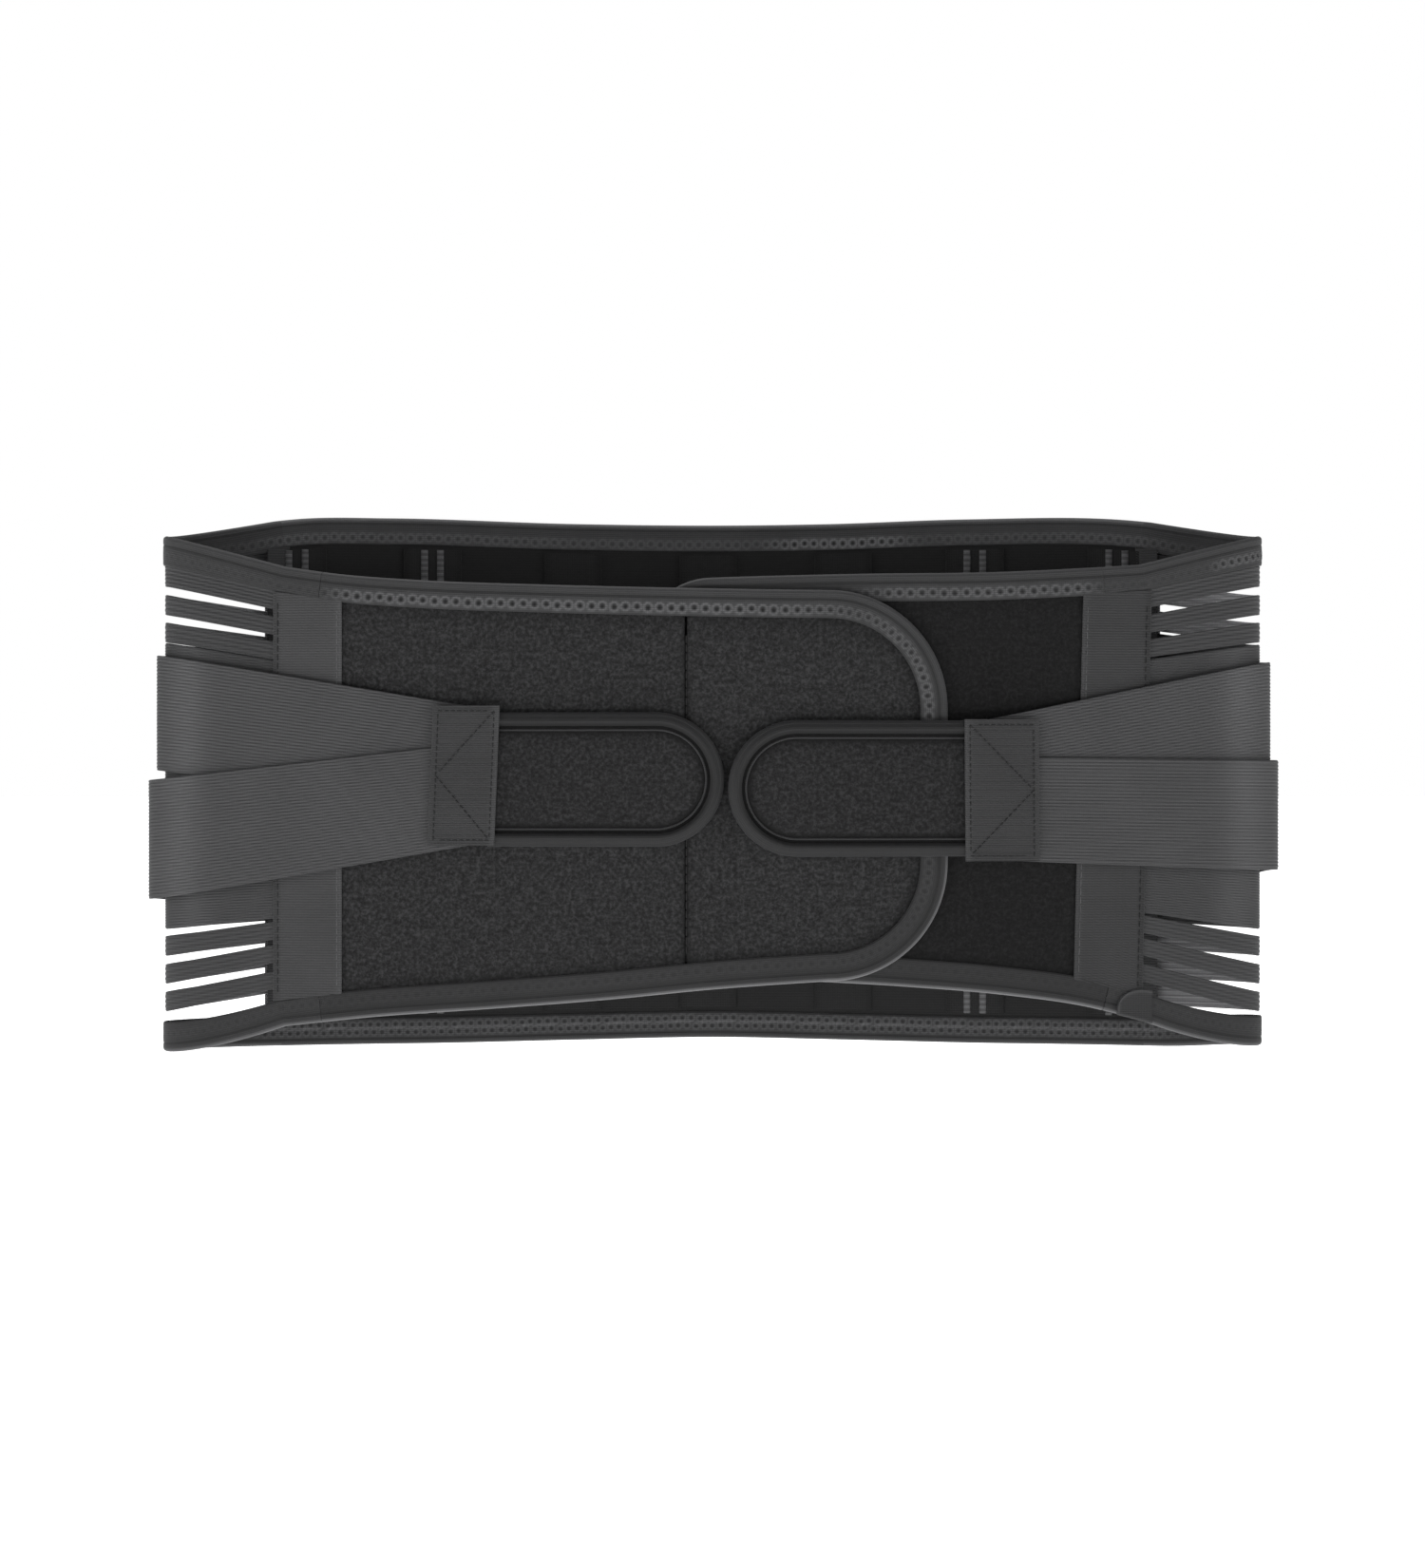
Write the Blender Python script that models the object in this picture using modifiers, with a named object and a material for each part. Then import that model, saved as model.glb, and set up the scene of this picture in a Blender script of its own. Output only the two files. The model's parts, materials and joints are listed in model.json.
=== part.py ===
"""Lumbar support belt, closed round an empty waist and standing on its lower edge.

The belt is one closed loop of fabric seen from above as a flattened oval. The stayed back
is at +Y and the two overlapping front panels are at -Y. Every fabric piece is a strip of
that loop: it runs a stretch of the loop, between two heights, at an offset from the loop's
middle surface. Metres, +Z up, origin on the floor under the middle of the belt.
"""
import math

import bmesh
import bpy
import numpy as np
from mathutils import Matrix, Vector

# ---------------------------------------------------------------- driving dimensions
MID_Z = 0.1095            # height of the belt's middle line over its lower edge
HALF_WIDTH = 0.2296       # X of the elastic at the side folds
BACK_DEPTH = 0.058        # loop's middle to the back wall
FRONT_DEPTH = 0.055       # loop's middle to the front wall
LOOP_POWER = 1.85         # 2 is an ellipse; less draws the side folds tighter
FOLD_AXIS_X = 0.2375      # upright line that the front and its pull strap fold about
CENTRE = (-0.0004, 0.0018)  # loop's middle, so that the belt's box stands on the origin

PANEL = 0.0024            # laminated panel
LINING = 0.0010
TAPE = 0.0007             # grosgrain and binding tape
ELASTIC = 0.0016
WEBBING = 0.0014          # pull strap
PAD = 0.0024              # tab's stiffened core
HOOK = 0.0006             # hook fastener
GAP = 0.0004              # air between pieces sewn on each other

BACK_END_X = 0.1860       # half length of the stayed back panel
FRONT_END_X = 0.1600      # where each front panel starts
SIDE_BACK_X = 0.1880      # the elastic side runs from here, round the fold, ...
SIDE_FRONT_X = 0.1630     # ... to here
SIDE_REACH_X = 0.1760     # by here, in front, its pieces are at the heights they are sewn at
BINDING_WIDTH = 0.0115
EDGE_INSET = 0.0013       # panel's edge inside its folded binding

CLOSURE_TIP_X = 0.0955    # end of the outer (left) front panel
CLOSURE_SEAM_X = -0.0108  # seam between it and its closing end piece
CLOSURE_RADIUS = 0.048
INNER_TIP_X = -0.0300     # hidden end of the inner (right) front panel
INNER_RADIUS = 0.030
OVERLAP_SHIFT = 0.0024    # each front panel moves off the middle surface by this

STAY_XS = (-0.1795, -0.1218, -0.061, -0.002, 0.057, 0.1142, 0.1748)
SPIRAL_STAYS = (0, 1, 5, 6)
CHANNEL_WIDTH = 0.025
STAY_OFFSET = -0.0012
SPIRAL_STAY = (0.0080, 0.0012)   # width, thickness
FLAT_STAY = (0.0120, 0.0010)
STAY_SHORTER = 0.032      # than the back is high
STAY_ROUNDING = 0.42      # corner radius as a share of its width
CHANNEL_MARGIN = 0.0020   # between the bindings and the ends of the tapes sewn inside them
ANCHOR_MARGIN = 0.0035
GROSGRAIN_MARGIN = 0.0025

# heights over the middle line, at stations of X
BACK_TOP = ((-0.21, 0.112), (-0.175, 0.117), (-0.14, 0.1177), (-0.06, 0.116), (0.0, 0.1155),
            (0.05, 0.116), (0.11, 0.1176), (0.175, 0.1165), (0.21, 0.112))
BACK_BOTTOM = ((-0.21, -0.1095), (-0.15, -0.1095), (-0.12, -0.1095), (-0.06, -0.1086),
               (0.0, -0.1076), (0.06, -0.1086), (0.12, -0.1095), (0.15, -0.1095),
               (0.21, -0.1095))
OUTER_TOP = ((-0.18, 0.0930), (-0.153, 0.0890), (-0.12, 0.0862), (-0.07, 0.0840),
             (0.0, 0.0822), (0.12, 0.0812))
OUTER_BOTTOM = ((-0.18, -0.0975), (-0.14, -0.0928), (-0.09, -0.0888), (-0.04, -0.0846),
                (0.0, -0.0806), (0.05, -0.0772), (0.12, -0.0740))
INNER_TOP = ((-0.06, 0.0840), (0.0, 0.0868), (0.06, 0.0885), (0.12, 0.0897), (0.153, 0.0915),
             (0.18, 0.0935))
INNER_BOTTOM = ((-0.06, -0.0740), (0.0, -0.0760), (0.08, -0.0800), (0.12, -0.0836),
                (0.153, -0.0885), (0.18, -0.0955))

# the elastic side pieces close up with the belt's height towards the back and the front
FOLD_BOTTOM, FOLD_TOP = -0.1095, 0.1070
SIDE_PIECES = (           # name, heights of its edges at the fold, and its lift in front
    ("top_band", 0.0946, FOLD_TOP, 0.0),
    ("fishbone_1", 0.0857, 0.0941, 0.0),
    ("fishbone_2", 0.0738, 0.0823, 0.0),
    ("fishbone_3", 0.0623, 0.0707, 0.0),
    ("wide_elastic", -0.0582, 0.0614, 0.0),
    ("fishbone_4", -0.0695, -0.0611, 0.0015),
    ("fishbone_5", -0.0812, -0.0729, 0.0024),
    ("fishbone_6", -0.0928, -0.0845, 0.0018),
    ("bottom_band", FOLD_BOTTOM, -0.0970, 0.0),
)
REAR_LIKE_FRONT = ("left_fishbone_2", "left_fishbone_3", "left_wide_elastic",
                   "left_fishbone_4", "left_fishbone_5", "left_fishbone_6")
REAR_SPREAD = 0.04        # these climb behind the fold as they do in front, and this much more
BAND_REST = 0.38          # the lower bands lie on the floor for this share of their rise
BAND_RISE = 1.5           # and then rise with this power of the way

# pull assembly of each side: heights over the middle line, and X along the front
PULLS = {
    "left": {
        "patch_x": (0.0850, 0.1120), "patch_z": (-0.0222, 0.0346), "tip_x": -0.0038,
        "tab_x": 0.0905, "tab_z": (0.0046, 0.0272), "pad_offset": 0.0073, "strap_end_x": 0.0925,
        "upper": ((0.0120, 0.0620), (0.0085, 0.0568), (-0.0080, 0.0335)),
        "lower": ((-0.0580, -0.0080), (-0.0455, 0.0045), (-0.0212, 0.0200)),
        "upper_bulge": 0.0036, "lower_bulge": 0.0070,
    },
    "right": {
        "patch_x": (0.1005, 0.1305), "patch_z": (-0.0286, 0.0290), "tip_x": 0.0078,
        "tab_x": 0.1065, "tab_z": (0.0010, 0.0276), "pad_offset": 0.0089, "strap_end_x": 0.1085,
        "upper": ((0.0120, 0.0620), (0.0060, 0.0540), (-0.0150, 0.0285)),
        "lower": ((-0.0580, -0.0080), (-0.0332, 0.0128), (-0.0280, 0.0140)),
        "upper_bulge": 0.0045, "lower_bulge": 0.0078,
    },
}
TAB_EDGING_WIDTH = 0.0052
OVER_GROSGRAIN = 0.0052   # offset of a strap where it passes the front's grosgrain
STRAP_BACK_X = 0.1700     # straps are sewn to the back from here
ANCHOR_X = (0.1660, 0.1905)   # upright tape over the straps' and strips' ends at the back
GROSGRAIN_X = (0.1516, 0.1805)
RIGHT_TILT = 0.004        # the right upright tape's lower end is this much nearer the middle
CLOSURE_HOOK_X, CLOSURE_HOOK_Z = (0.012, 0.078), 0.046
STRAP_SINK = 0.0004       # straps lie this much deeper than the tab they are sewn to
STRAP_LIFT_K = -0.75      # from here to the fold a strap rises off the back
PATCH_LIFT = 1.6 * TAPE + 0.0005
TAB_HOOK_RIM = 0.0030     # bare felt round a tab's hook patch
TAB_HOOK_START, TAB_HOOK_END = 0.004, 0.020   # its ends from the straps' ends and from the tip

SIDES = {"left": -1, "right": 1}

LOOKS = {                 # colour, roughness, metallic
    "loop_felt": ((0.030, 0.030, 0.032), 0.95, 0.0),
    "lining_mesh": ((0.012, 0.012, 0.013), 0.9, 0.0),
    "grosgrain": ((0.055, 0.055, 0.058), 0.8, 0.0),
    "binding_tape": ((0.045, 0.045, 0.048), 0.8, 0.0),
    "elastic_webbing": ((0.060, 0.060, 0.063), 0.75, 0.0),
    "channel_tape": ((0.020, 0.020, 0.021), 0.85, 0.0),
    "hook_tape": ((0.020, 0.020, 0.021), 0.7, 0.0),
    "spring_steel": ((0.55, 0.55, 0.56), 0.35, 1.0),
    "stay_plastic": ((0.70, 0.70, 0.68), 0.5, 0.0),
}


# ---------------------------------------------------------------- the loop seen from above
def signed_power(value, power):
    return np.sign(value) * np.abs(value) ** power


def make_loop(samples=4000):
    """Points round the loop, from the middle of the back, past the right fold to the front."""
    turn = np.linspace(0.0, 2.0 * math.pi, samples + 1)
    x = HALF_WIDTH * signed_power(np.sin(turn), 2.0 / LOOP_POWER)
    depth = np.where(np.cos(turn) > 0.0, BACK_DEPTH, FRONT_DEPTH)
    y = depth * signed_power(np.cos(turn), 2.0 / LOOP_POWER)
    length = np.concatenate([[0.0], np.cumsum(np.hypot(np.diff(x), np.diff(y)))])
    return x, y, length


LOOP_X, LOOP_Y, LOOP_S = make_loop()
GIRTH = LOOP_S[-1]
FOLD_S = LOOP_S[len(LOOP_S) // 4]
FRONT_S = LOOP_S[len(LOOP_S) // 2]


def loop_point(s):
    s = s % GIRTH
    return np.array([np.interp(s, LOOP_S, LOOP_X), np.interp(s, LOOP_S, LOOP_Y)])


def wall(s, height, offset):
    """A point of the wall: along the loop, over the middle line, outward from the middle."""
    ahead = loop_point(s + 0.001) - loop_point(s - 0.001)
    ahead /= np.linalg.norm(ahead)
    x, y = loop_point(s) + offset * np.array([-ahead[1], ahead[0]])
    return (x, y, MID_Z + height)


def back(x):
    """Place along the loop of a back point at X."""
    quarter = len(LOOP_S) // 4
    side = np.interp(abs(x), LOOP_X[:quarter + 1], LOOP_S[:quarter + 1])
    return math.copysign(side, x)


def front(x):
    """Place along the loop of a front point at X."""
    quarter, half = len(LOOP_S) // 4, len(LOOP_S) // 2
    rising_x, falling_s = LOOP_X[quarter:half + 1][::-1], LOOP_S[quarter:half + 1][::-1]
    return FRONT_S + math.copysign(FRONT_S - np.interp(abs(x), rising_x, falling_s), -x)


def curve_through(x, stations):
    """Smooth curve through (x, value) stations, by cubic pieces."""
    xs, values = zip(*stations)
    slopes = np.gradient(np.array(values), np.array(xs))
    x = min(max(x, xs[0]), xs[-1])
    i = min(max(int(np.searchsorted(xs, x)) - 1, 0), len(xs) - 2)
    span = xs[i + 1] - xs[i]
    t = (x - xs[i]) / span
    return ((2 * t**3 - 3 * t**2 + 1) * values[i] + (t**3 - 2 * t**2 + t) * span * slopes[i]
            + (3 * t**2 - 2 * t**3) * values[i + 1] + (t**3 - t**2) * span * slopes[i + 1])


def ease(x, x_from, x_to):
    t = min(max((x - x_from) / (x_to - x_from), 0.0), 1.0)
    return t * t * (3.0 - 2.0 * t)


# ---------------------------------------------------------------- scene and pieces
def clear_scene():
    for obj in list(bpy.data.objects):
        bpy.data.objects.remove(obj, do_unlink=True)


def make_axes(collection):
    """Upright empties on the folds: the front pieces and the pulls turn about them."""
    axes = {}
    for side, sign in SIDES.items():
        for part in ("front", "pull"):
            empty = bpy.data.objects.new(f"{side}_{part}_axis", None)
            empty.location = (CENTRE[0] + sign * FOLD_AXIS_X, CENTRE[1], MID_Z)
            empty.empty_display_size = 0.03
            collection.objects.link(empty)
            axes[f"{side}_{part}"] = empty
    return axes


def add_object(name, look, mesh, parent=None):
    """Link a mesh made round the loop's middle, hung on its joint's axis if it moves."""
    colour, roughness, metallic = LOOKS[look]
    material = bpy.data.materials.new(name)
    material.use_nodes = True
    shader = material.node_tree.nodes["Principled BSDF"]
    shader.inputs["Base Color"].default_value = (*colour, 1.0)
    shader.inputs["Roughness"].default_value = roughness
    shader.inputs["Metallic"].default_value = metallic
    mesh.materials.append(material)
    obj = bpy.data.objects.new(name, mesh)
    PARTS.objects.link(obj)
    mesh.transform(Matrix.Translation((*CENTRE, 0.0)))
    if parent:
        obj.parent = AXES[parent]
        mesh.transform(Matrix.Translation(-AXES[parent].location))
    return obj


def loft(name, look, stations, thickness, parent=None):
    """Open surface through stations of points, thickened evenly to one closed body."""
    bm = bmesh.new()
    rows = [[bm.verts.new(point) for point in station] for station in stations]
    for row, following in zip(rows, rows[1:]):
        for i in range(len(row) - 1):
            bm.faces.new((row[i], row[i + 1], following[i + 1], following[i]))
    mesh = bpy.data.meshes.new(name)
    bm.to_mesh(mesh)
    bm.free()
    obj = add_object(name, look, mesh, parent)
    solidify = obj.modifiers.new("thickness", "SOLIDIFY")
    solidify.thickness = thickness
    solidify.offset = 0.0
    solidify.use_even_offset = True
    return obj


def strip(name, look, places, low, high, offset, thickness, parent=None):
    """Flat piece of the wall; low, high and offset are functions of the place's X or index."""
    stations = [[wall(s, low(k), offset(k)), wall(s, high(k), offset(k))] for s, k in places]
    return loft(name, look, stations, thickness, parent)


def spread(start, end, count):
    return [start + (end - start) * i / (count - 1) for i in range(count)]


# ---------------------------------------------------------------- back
BACK_OUT = PANEL / 2 + 0.0009                      # offset of the back panel's own middle
BACK_OUTER_FACE = BACK_OUT + PANEL / 2
LINING_OFFSET = -0.0027
LINING_INNER_FACE = LINING_OFFSET - LINING / 2


def back_sheet(name, look, offset, thickness):
    places = [(back(x), x) for x in spread(-BACK_END_X, BACK_END_X, 25)]
    strip(name, look, places,
          lambda x: curve_through(x, BACK_BOTTOM) + EDGE_INSET,
          lambda x: curve_through(x, BACK_TOP) - EDGE_INSET,
          lambda x: offset, thickness)


def back_binding(name, edge, inward):
    """Tape folded over the back's upper or lower edge; inward is -1 at the top edge."""
    outer = BACK_OUTER_FACE + GAP + TAPE / 2
    inner = LINING_INNER_FACE - GAP - TAPE / 2
    stations = []
    for x in spread(-BACK_END_X, BACK_END_X, 25):
        rim = curve_through(x, edge) + inward * TAPE / 2
        deep = rim + inward * BINDING_WIDTH
        section = ((outer, deep), (outer, rim), (inner, rim), (inner, deep))
        stations.append([wall(back(x), height, offset) for offset, height in section])
    loft(name, "binding_tape", stations, TAPE)


def stay(index, x):
    """Upright stay between the back panel and its lining, with rounded ends."""
    spiral = index in SPIRAL_STAYS
    width, thickness = SPIRAL_STAY if spiral else FLAT_STAY
    length = curve_through(x, BACK_TOP) - curve_through(x, BACK_BOTTOM) - STAY_SHORTER
    middle = (curve_through(x, BACK_TOP) + curve_through(x, BACK_BOTTOM)) / 2
    here = Vector(wall(back(x), middle, STAY_OFFSET))
    ahead = Vector(wall(back(x) + 0.004, middle, STAY_OFFSET)) - here
    bm = bmesh.new()
    bmesh.ops.create_cube(bm, size=1.0)
    bmesh.ops.scale(bm, vec=(width, thickness, length), verts=bm.verts)
    corners = [e for e in bm.edges if abs(e.verts[0].co.y - e.verts[1].co.y) > thickness / 2]
    bmesh.ops.bevel(bm, geom=corners, offset=width * STAY_ROUNDING, segments=4, affect="EDGES",
                    profile=0.5)
    bmesh.ops.rotate(bm, verts=bm.verts, matrix=Matrix.Rotation(
        math.atan2(ahead.y, ahead.x), 3, "Z"))
    bmesh.ops.translate(bm, vec=here, verts=bm.verts)
    name = f"{'spiral' if spiral else 'flat'}_stay_{index + 1}"
    mesh = bpy.data.meshes.new(name)
    bm.to_mesh(mesh)
    bm.free()
    add_object(name, "spring_steel" if spiral else "stay_plastic", mesh)


def stay_channel(index, x):
    """Tape sewn over the lining to make the pocket that holds one stay."""
    margin = BINDING_WIDTH + CHANNEL_MARGIN
    half = CHANNEL_WIDTH / 2
    reach = min(abs(x) + half, BACK_END_X - 0.0015) - abs(x)
    ends = (x - half, x + reach) if x > 0 else (x - reach, x + half)
    places = [(back(at), at) for at in spread(*ends, 5)]
    offset = LINING_INNER_FACE - GAP - TAPE / 2
    strip(f"stay_channel_{index + 1}", "channel_tape", places,
          lambda at: curve_through(at, BACK_BOTTOM) + margin,
          lambda at: curve_through(at, BACK_TOP) - margin,
          lambda at: offset, TAPE)


def build_back():
    back_sheet("back_panel", "loop_felt", BACK_OUT, PANEL)
    back_sheet("back_lining", "lining_mesh", LINING_OFFSET, LINING)
    back_binding("back_top_binding", BACK_TOP, -1)
    back_binding("back_bottom_binding", BACK_BOTTOM, 1)
    for index, x in enumerate(STAY_XS):
        stay(index, x)
        stay_channel(index, x)


# ---------------------------------------------------------------- elastic sides
def side_places(side, back_x, front_x, count):
    """Places from the back, round the fold, to the front; k runs from -1 by 0 to 1."""
    start, end = back(back_x), front(front_x)
    places = []
    for k in spread(-1.0, 1.0, count):
        s = FOLD_S + k * (end - FOLD_S if k > 0 else FOLD_S - start)
        places.append((s if side == "right" else GIRTH - s, k))
    return places


def toward_end(place, k, back_x, front_x):
    """0 at the fold and 1 at the piece's back or front end, even along X."""
    x = abs(loop_point(place)[0])
    return (HALF_WIDTH - x) / (HALF_WIDTH - (back_x if k < 0.0 else front_x))


def side_height(side, place, k, at_fold, lift=0.0, rest=0.0, mirrored=False):
    """Height of a line of the elastic side, which keeps its share of the belt's height.

    In front of the fold the line stays level for the share rest, and ends up lift higher.
    A mirrored line does behind the fold what it does in front."""
    way = min(1.0, toward_end(place, k, SIDE_BACK_X, SIDE_REACH_X))
    if mirrored and k < 0.0:
        return side_height(side, place, -k, at_fold, lift, rest) * (1.0 + REAR_SPREAD * way)
    sign = SIDES[side]
    x = abs(loop_point(place)[0])
    if k < 0.0:
        low_end = curve_through(sign * SIDE_BACK_X, BACK_BOTTOM)
        high_end = curve_through(sign * SIDE_BACK_X, BACK_TOP)
    else:
        bottom, top = (OUTER_BOTTOM, OUTER_TOP) if sign < 0 else (INNER_BOTTOM, INNER_TOP)
        low_end = curve_through(sign * min(x, SIDE_REACH_X), bottom) + lift
        high_end = curve_through(sign * min(x, SIDE_REACH_X), top) + lift
        if rest:
            level = rest ** BAND_RISE
            way = max(0.0, way ** BAND_RISE - level) / (1.0 - level)
    share = (at_fold - FOLD_BOTTOM) / (FOLD_TOP - FOLD_BOTTOM)
    at_end = low_end + share * (high_end - low_end)
    return at_fold + (at_end - at_fold) * way


def build_side(side):
    for name, low, high, lift in SIDE_PIECES:
        rest = BAND_REST if name == "bottom_band" else 0.0
        mirrored = f"{side}_{name}" in REAR_LIKE_FRONT
        stations = [[wall(s, side_height(side, s, k, edge, lift, rest, mirrored), 0.0)
                     for edge in (low, high)]
                    for s, k in side_places(side, SIDE_BACK_X, SIDE_FRONT_X, 19)]
        look = "binding_tape" if name.endswith("band") else "elastic_webbing"
        loft(f"{side}_{name}", look, stations, ELASTIC)
    sign = SIDES[side]
    places = [(back(sign * x), x) for x in spread(*ANCHOR_X, 4)]
    strip(f"{side}_strap_anchor", "grosgrain", places,
          lambda x: curve_through(sign * x, BACK_BOTTOM) + BINDING_WIDTH + ANCHOR_MARGIN,
          lambda x: curve_through(sign * x, BACK_TOP) - BINDING_WIDTH - ANCHOR_MARGIN,
          lambda x: BACK_OUTER_FACE + 3 * GAP + WEBBING + TAPE / 2, TAPE)


# ---------------------------------------------------------------- front panels
def outer_shift(x):
    return OVERLAP_SHIFT * ease(x, -0.150, -0.045)


def inner_shift(x):
    return -OVERLAP_SHIFT * ease(-x, -0.150, -0.105)


def rounded_end(tip_x, radius, top, bottom, inset, steps):
    """(x, low, high) columns of a panel end with two round corners, from straight to tip."""
    sign = math.copysign(1.0, tip_x - (0.1 if tip_x < 0 else -0.1))
    centre_x = tip_x - sign * radius
    columns = []
    for i in range(1, steps + 1):
        angle = 0.5 * math.pi * i / steps
        x = centre_x + sign * (radius - inset) * math.sin(angle)
        drop = radius - (radius - inset) * math.cos(angle)
        columns.append((x, curve_through(centre_x, bottom) + drop,
                        curve_through(centre_x, top) - drop))
    return centre_x, columns


def panel_columns(start_x, tip_x, radius, top, bottom, inset, count, steps=6):
    centre_x, end = rounded_end(tip_x, radius, top, bottom, inset, steps)
    straight = [(x, curve_through(x, bottom) + inset, curve_through(x, top) - inset)
                for x in spread(start_x, centre_x, count)]
    return straight + end


def front_panel(name, look, columns, shift, parent, thickness=PANEL):
    stations = [[wall(front(x), z, shift(x)) for z in (low, high)] for x, low, high in columns]
    loft(name, look, stations, thickness, parent)


def edge_route(columns, inset):
    """Closed-end outline of a panel with its inward direction, from top edge to bottom edge."""
    rim = [(x, high) for x, _, high in columns] + [(x, low) for x, low, _ in reversed(columns)]
    route = []
    for i, here in enumerate(rim):
        before, after = rim[max(i - 1, 0)], rim[min(i + 1, len(rim) - 1)]
        along = Vector((after[0] - before[0], after[1] - before[1])).normalized()
        route.append((Vector(here), Vector((along.y, -along.x))))
    centre = sum((p for p, _ in route), Vector((0.0, 0.0))) / len(route)
    turn = 1.0 if (centre - route[0][0]).dot(route[0][1]) > 0 else -1.0
    return [(p - turn * inward * inset, turn * inward) for p, inward in route]


def edge_binding(name, columns, shift, half_depth, width, parent, look="binding_tape"):
    """Tape folded over a panel's edge, all the way round its free end."""
    reach = EDGE_INSET - TAPE / 2
    stations = []
    for rim, inward in edge_route(columns, reach):
        deep = rim + inward * width
        section = ((1, deep), (1, rim), (-1, rim), (-1, deep))
        stations.append([wall(front(p.x), p.y, shift(p.x) + face * half_depth)
                         for face, p in section])
    loft(name, look, stations, TAPE, parent)


def grosgrain_band(side, top, bottom, shift, tilt):
    """Upright tape that covers the seam between the elastic side and the front panel."""
    sign = SIDES[side]
    stations = []
    for x in spread(*GROSGRAIN_X, 6):
        low = curve_through(sign * x, bottom) + BINDING_WIDTH + GROSGRAIN_MARGIN
        high = curve_through(sign * x, top) - BINDING_WIDTH - GROSGRAIN_MARGIN
        offset = shift(sign * x) + PANEL / 2 + GAP + TAPE / 2
        stations.append([wall(front(sign * x + lean), z, offset)
                         for z, lean in ((low, -tilt), (high, 0.0))])
    loft(f"{side}_front_grosgrain", "grosgrain", stations, TAPE, f"{side}_front")


def build_left_front():
    columns = panel_columns(-FRONT_END_X, CLOSURE_TIP_X, CLOSURE_RADIUS, OUTER_TOP,
                            OUTER_BOTTOM, EDGE_INSET, count=18)
    seam = GAP / 2
    main = [c for c in columns if c[0] < CLOSURE_SEAM_X - seam]
    ending = [c for c in columns if c[0] > CLOSURE_SEAM_X + seam]
    for part, x in ((main, CLOSURE_SEAM_X - seam), (ending, CLOSURE_SEAM_X + seam)):
        column = (x, curve_through(x, OUTER_BOTTOM) + EDGE_INSET,
                  curve_through(x, OUTER_TOP) - EDGE_INSET)
        part.insert(len(part) if part is main else 0, column)
    front_panel("left_front_panel", "loop_felt", main, outer_shift, "left_front")
    front_panel("left_closure_panel", "loop_felt", ending, outer_shift, "left_front")
    edge_binding("left_front_binding", columns, outer_shift,
                 PANEL / 2 + GAP + TAPE / 2, BINDING_WIDTH, "left_front")
    hook = [(x, -CLOSURE_HOOK_Z, CLOSURE_HOOK_Z) for x in spread(*CLOSURE_HOOK_X, 6)]
    inner_face = PANEL / 2 + GAP / 2 + HOOK / 2
    front_panel("left_closure_hook", "hook_tape", hook, lambda x: outer_shift(x) - inner_face,
                "left_front", HOOK)
    grosgrain_band("left", OUTER_TOP, OUTER_BOTTOM, outer_shift, 0.0)


def build_right_front():
    columns = panel_columns(FRONT_END_X, INNER_TIP_X, INNER_RADIUS, INNER_TOP, INNER_BOTTOM,
                            EDGE_INSET, count=18)
    front_panel("right_front_panel", "loop_felt", columns, inner_shift, "right_front")
    edge_binding("right_front_binding", columns, inner_shift,
                 PANEL / 2 + GAP + TAPE / 2, BINDING_WIDTH, "right_front")
    grosgrain_band("right", INNER_TOP, INNER_BOTTOM, inner_shift, RIGHT_TILT)


# ---------------------------------------------------------------- pull straps and tabs
def pull_strap(side, level, pull):
    """Elastic webbing from the back, outside the elastic side, to the tab's patch."""
    rise = 0.0 if level == "upper" else WEBBING + GAP
    at_back = BACK_OUTER_FACE + GAP + WEBBING / 2
    at_front = pull["pad_offset"] - WEBBING - GAP + rise - STRAP_SINK
    bulge = pull[f"{level}_bulge"]
    over_panel = max(OVER_GROSGRAIN + rise, bulge * 0.8)
    at_ends, at_fold = (pull[level][0], pull[level][2]), pull[level][1]

    def offset(k):
        if k < 0.0:
            return at_back + (bulge - at_back) * ease(k, STRAP_LIFT_K, 0.0)
        if k < 0.5:
            return bulge + (over_panel - bulge) * ease(k, 0.0, 0.5)
        return over_panel + (at_front - over_panel) * ease(k, 0.5, 1.0)

    stations = []
    for s, k in side_places(side, STRAP_BACK_X, pull["strap_end_x"], 25):
        share = toward_end(s, k, STRAP_BACK_X, pull["strap_end_x"])
        end = at_ends[0] if k < 0.0 else at_ends[1]
        heights = [at_fold[i] + (end[i] - at_fold[i]) * share for i in (0, 1)]
        stations.append([wall(s, z, offset(k)) for z in heights])
    loft(f"{side}_{level}_strap", "elastic_webbing", stations, WEBBING, f"{side}_pull")


def tab_columns(side, pull, inset, steps=9):
    """Columns of the tab: straight from the patch, then a half-round end."""
    sign = SIDES[side]
    middle, half = pull["tab_z"]
    centre_x = pull["tip_x"] + half
    columns = [(sign * x, middle - half + inset, middle + half - inset)
               for x in spread(pull["tab_x"], centre_x, 6)]
    for i in range(1, steps + 1):
        angle = math.radians(86.0) * i / steps
        reach = (half - inset) * math.cos(angle)
        x = centre_x - (half - inset) * math.sin(angle)
        columns.append((sign * x, middle - reach, middle + reach))
    return columns


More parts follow.
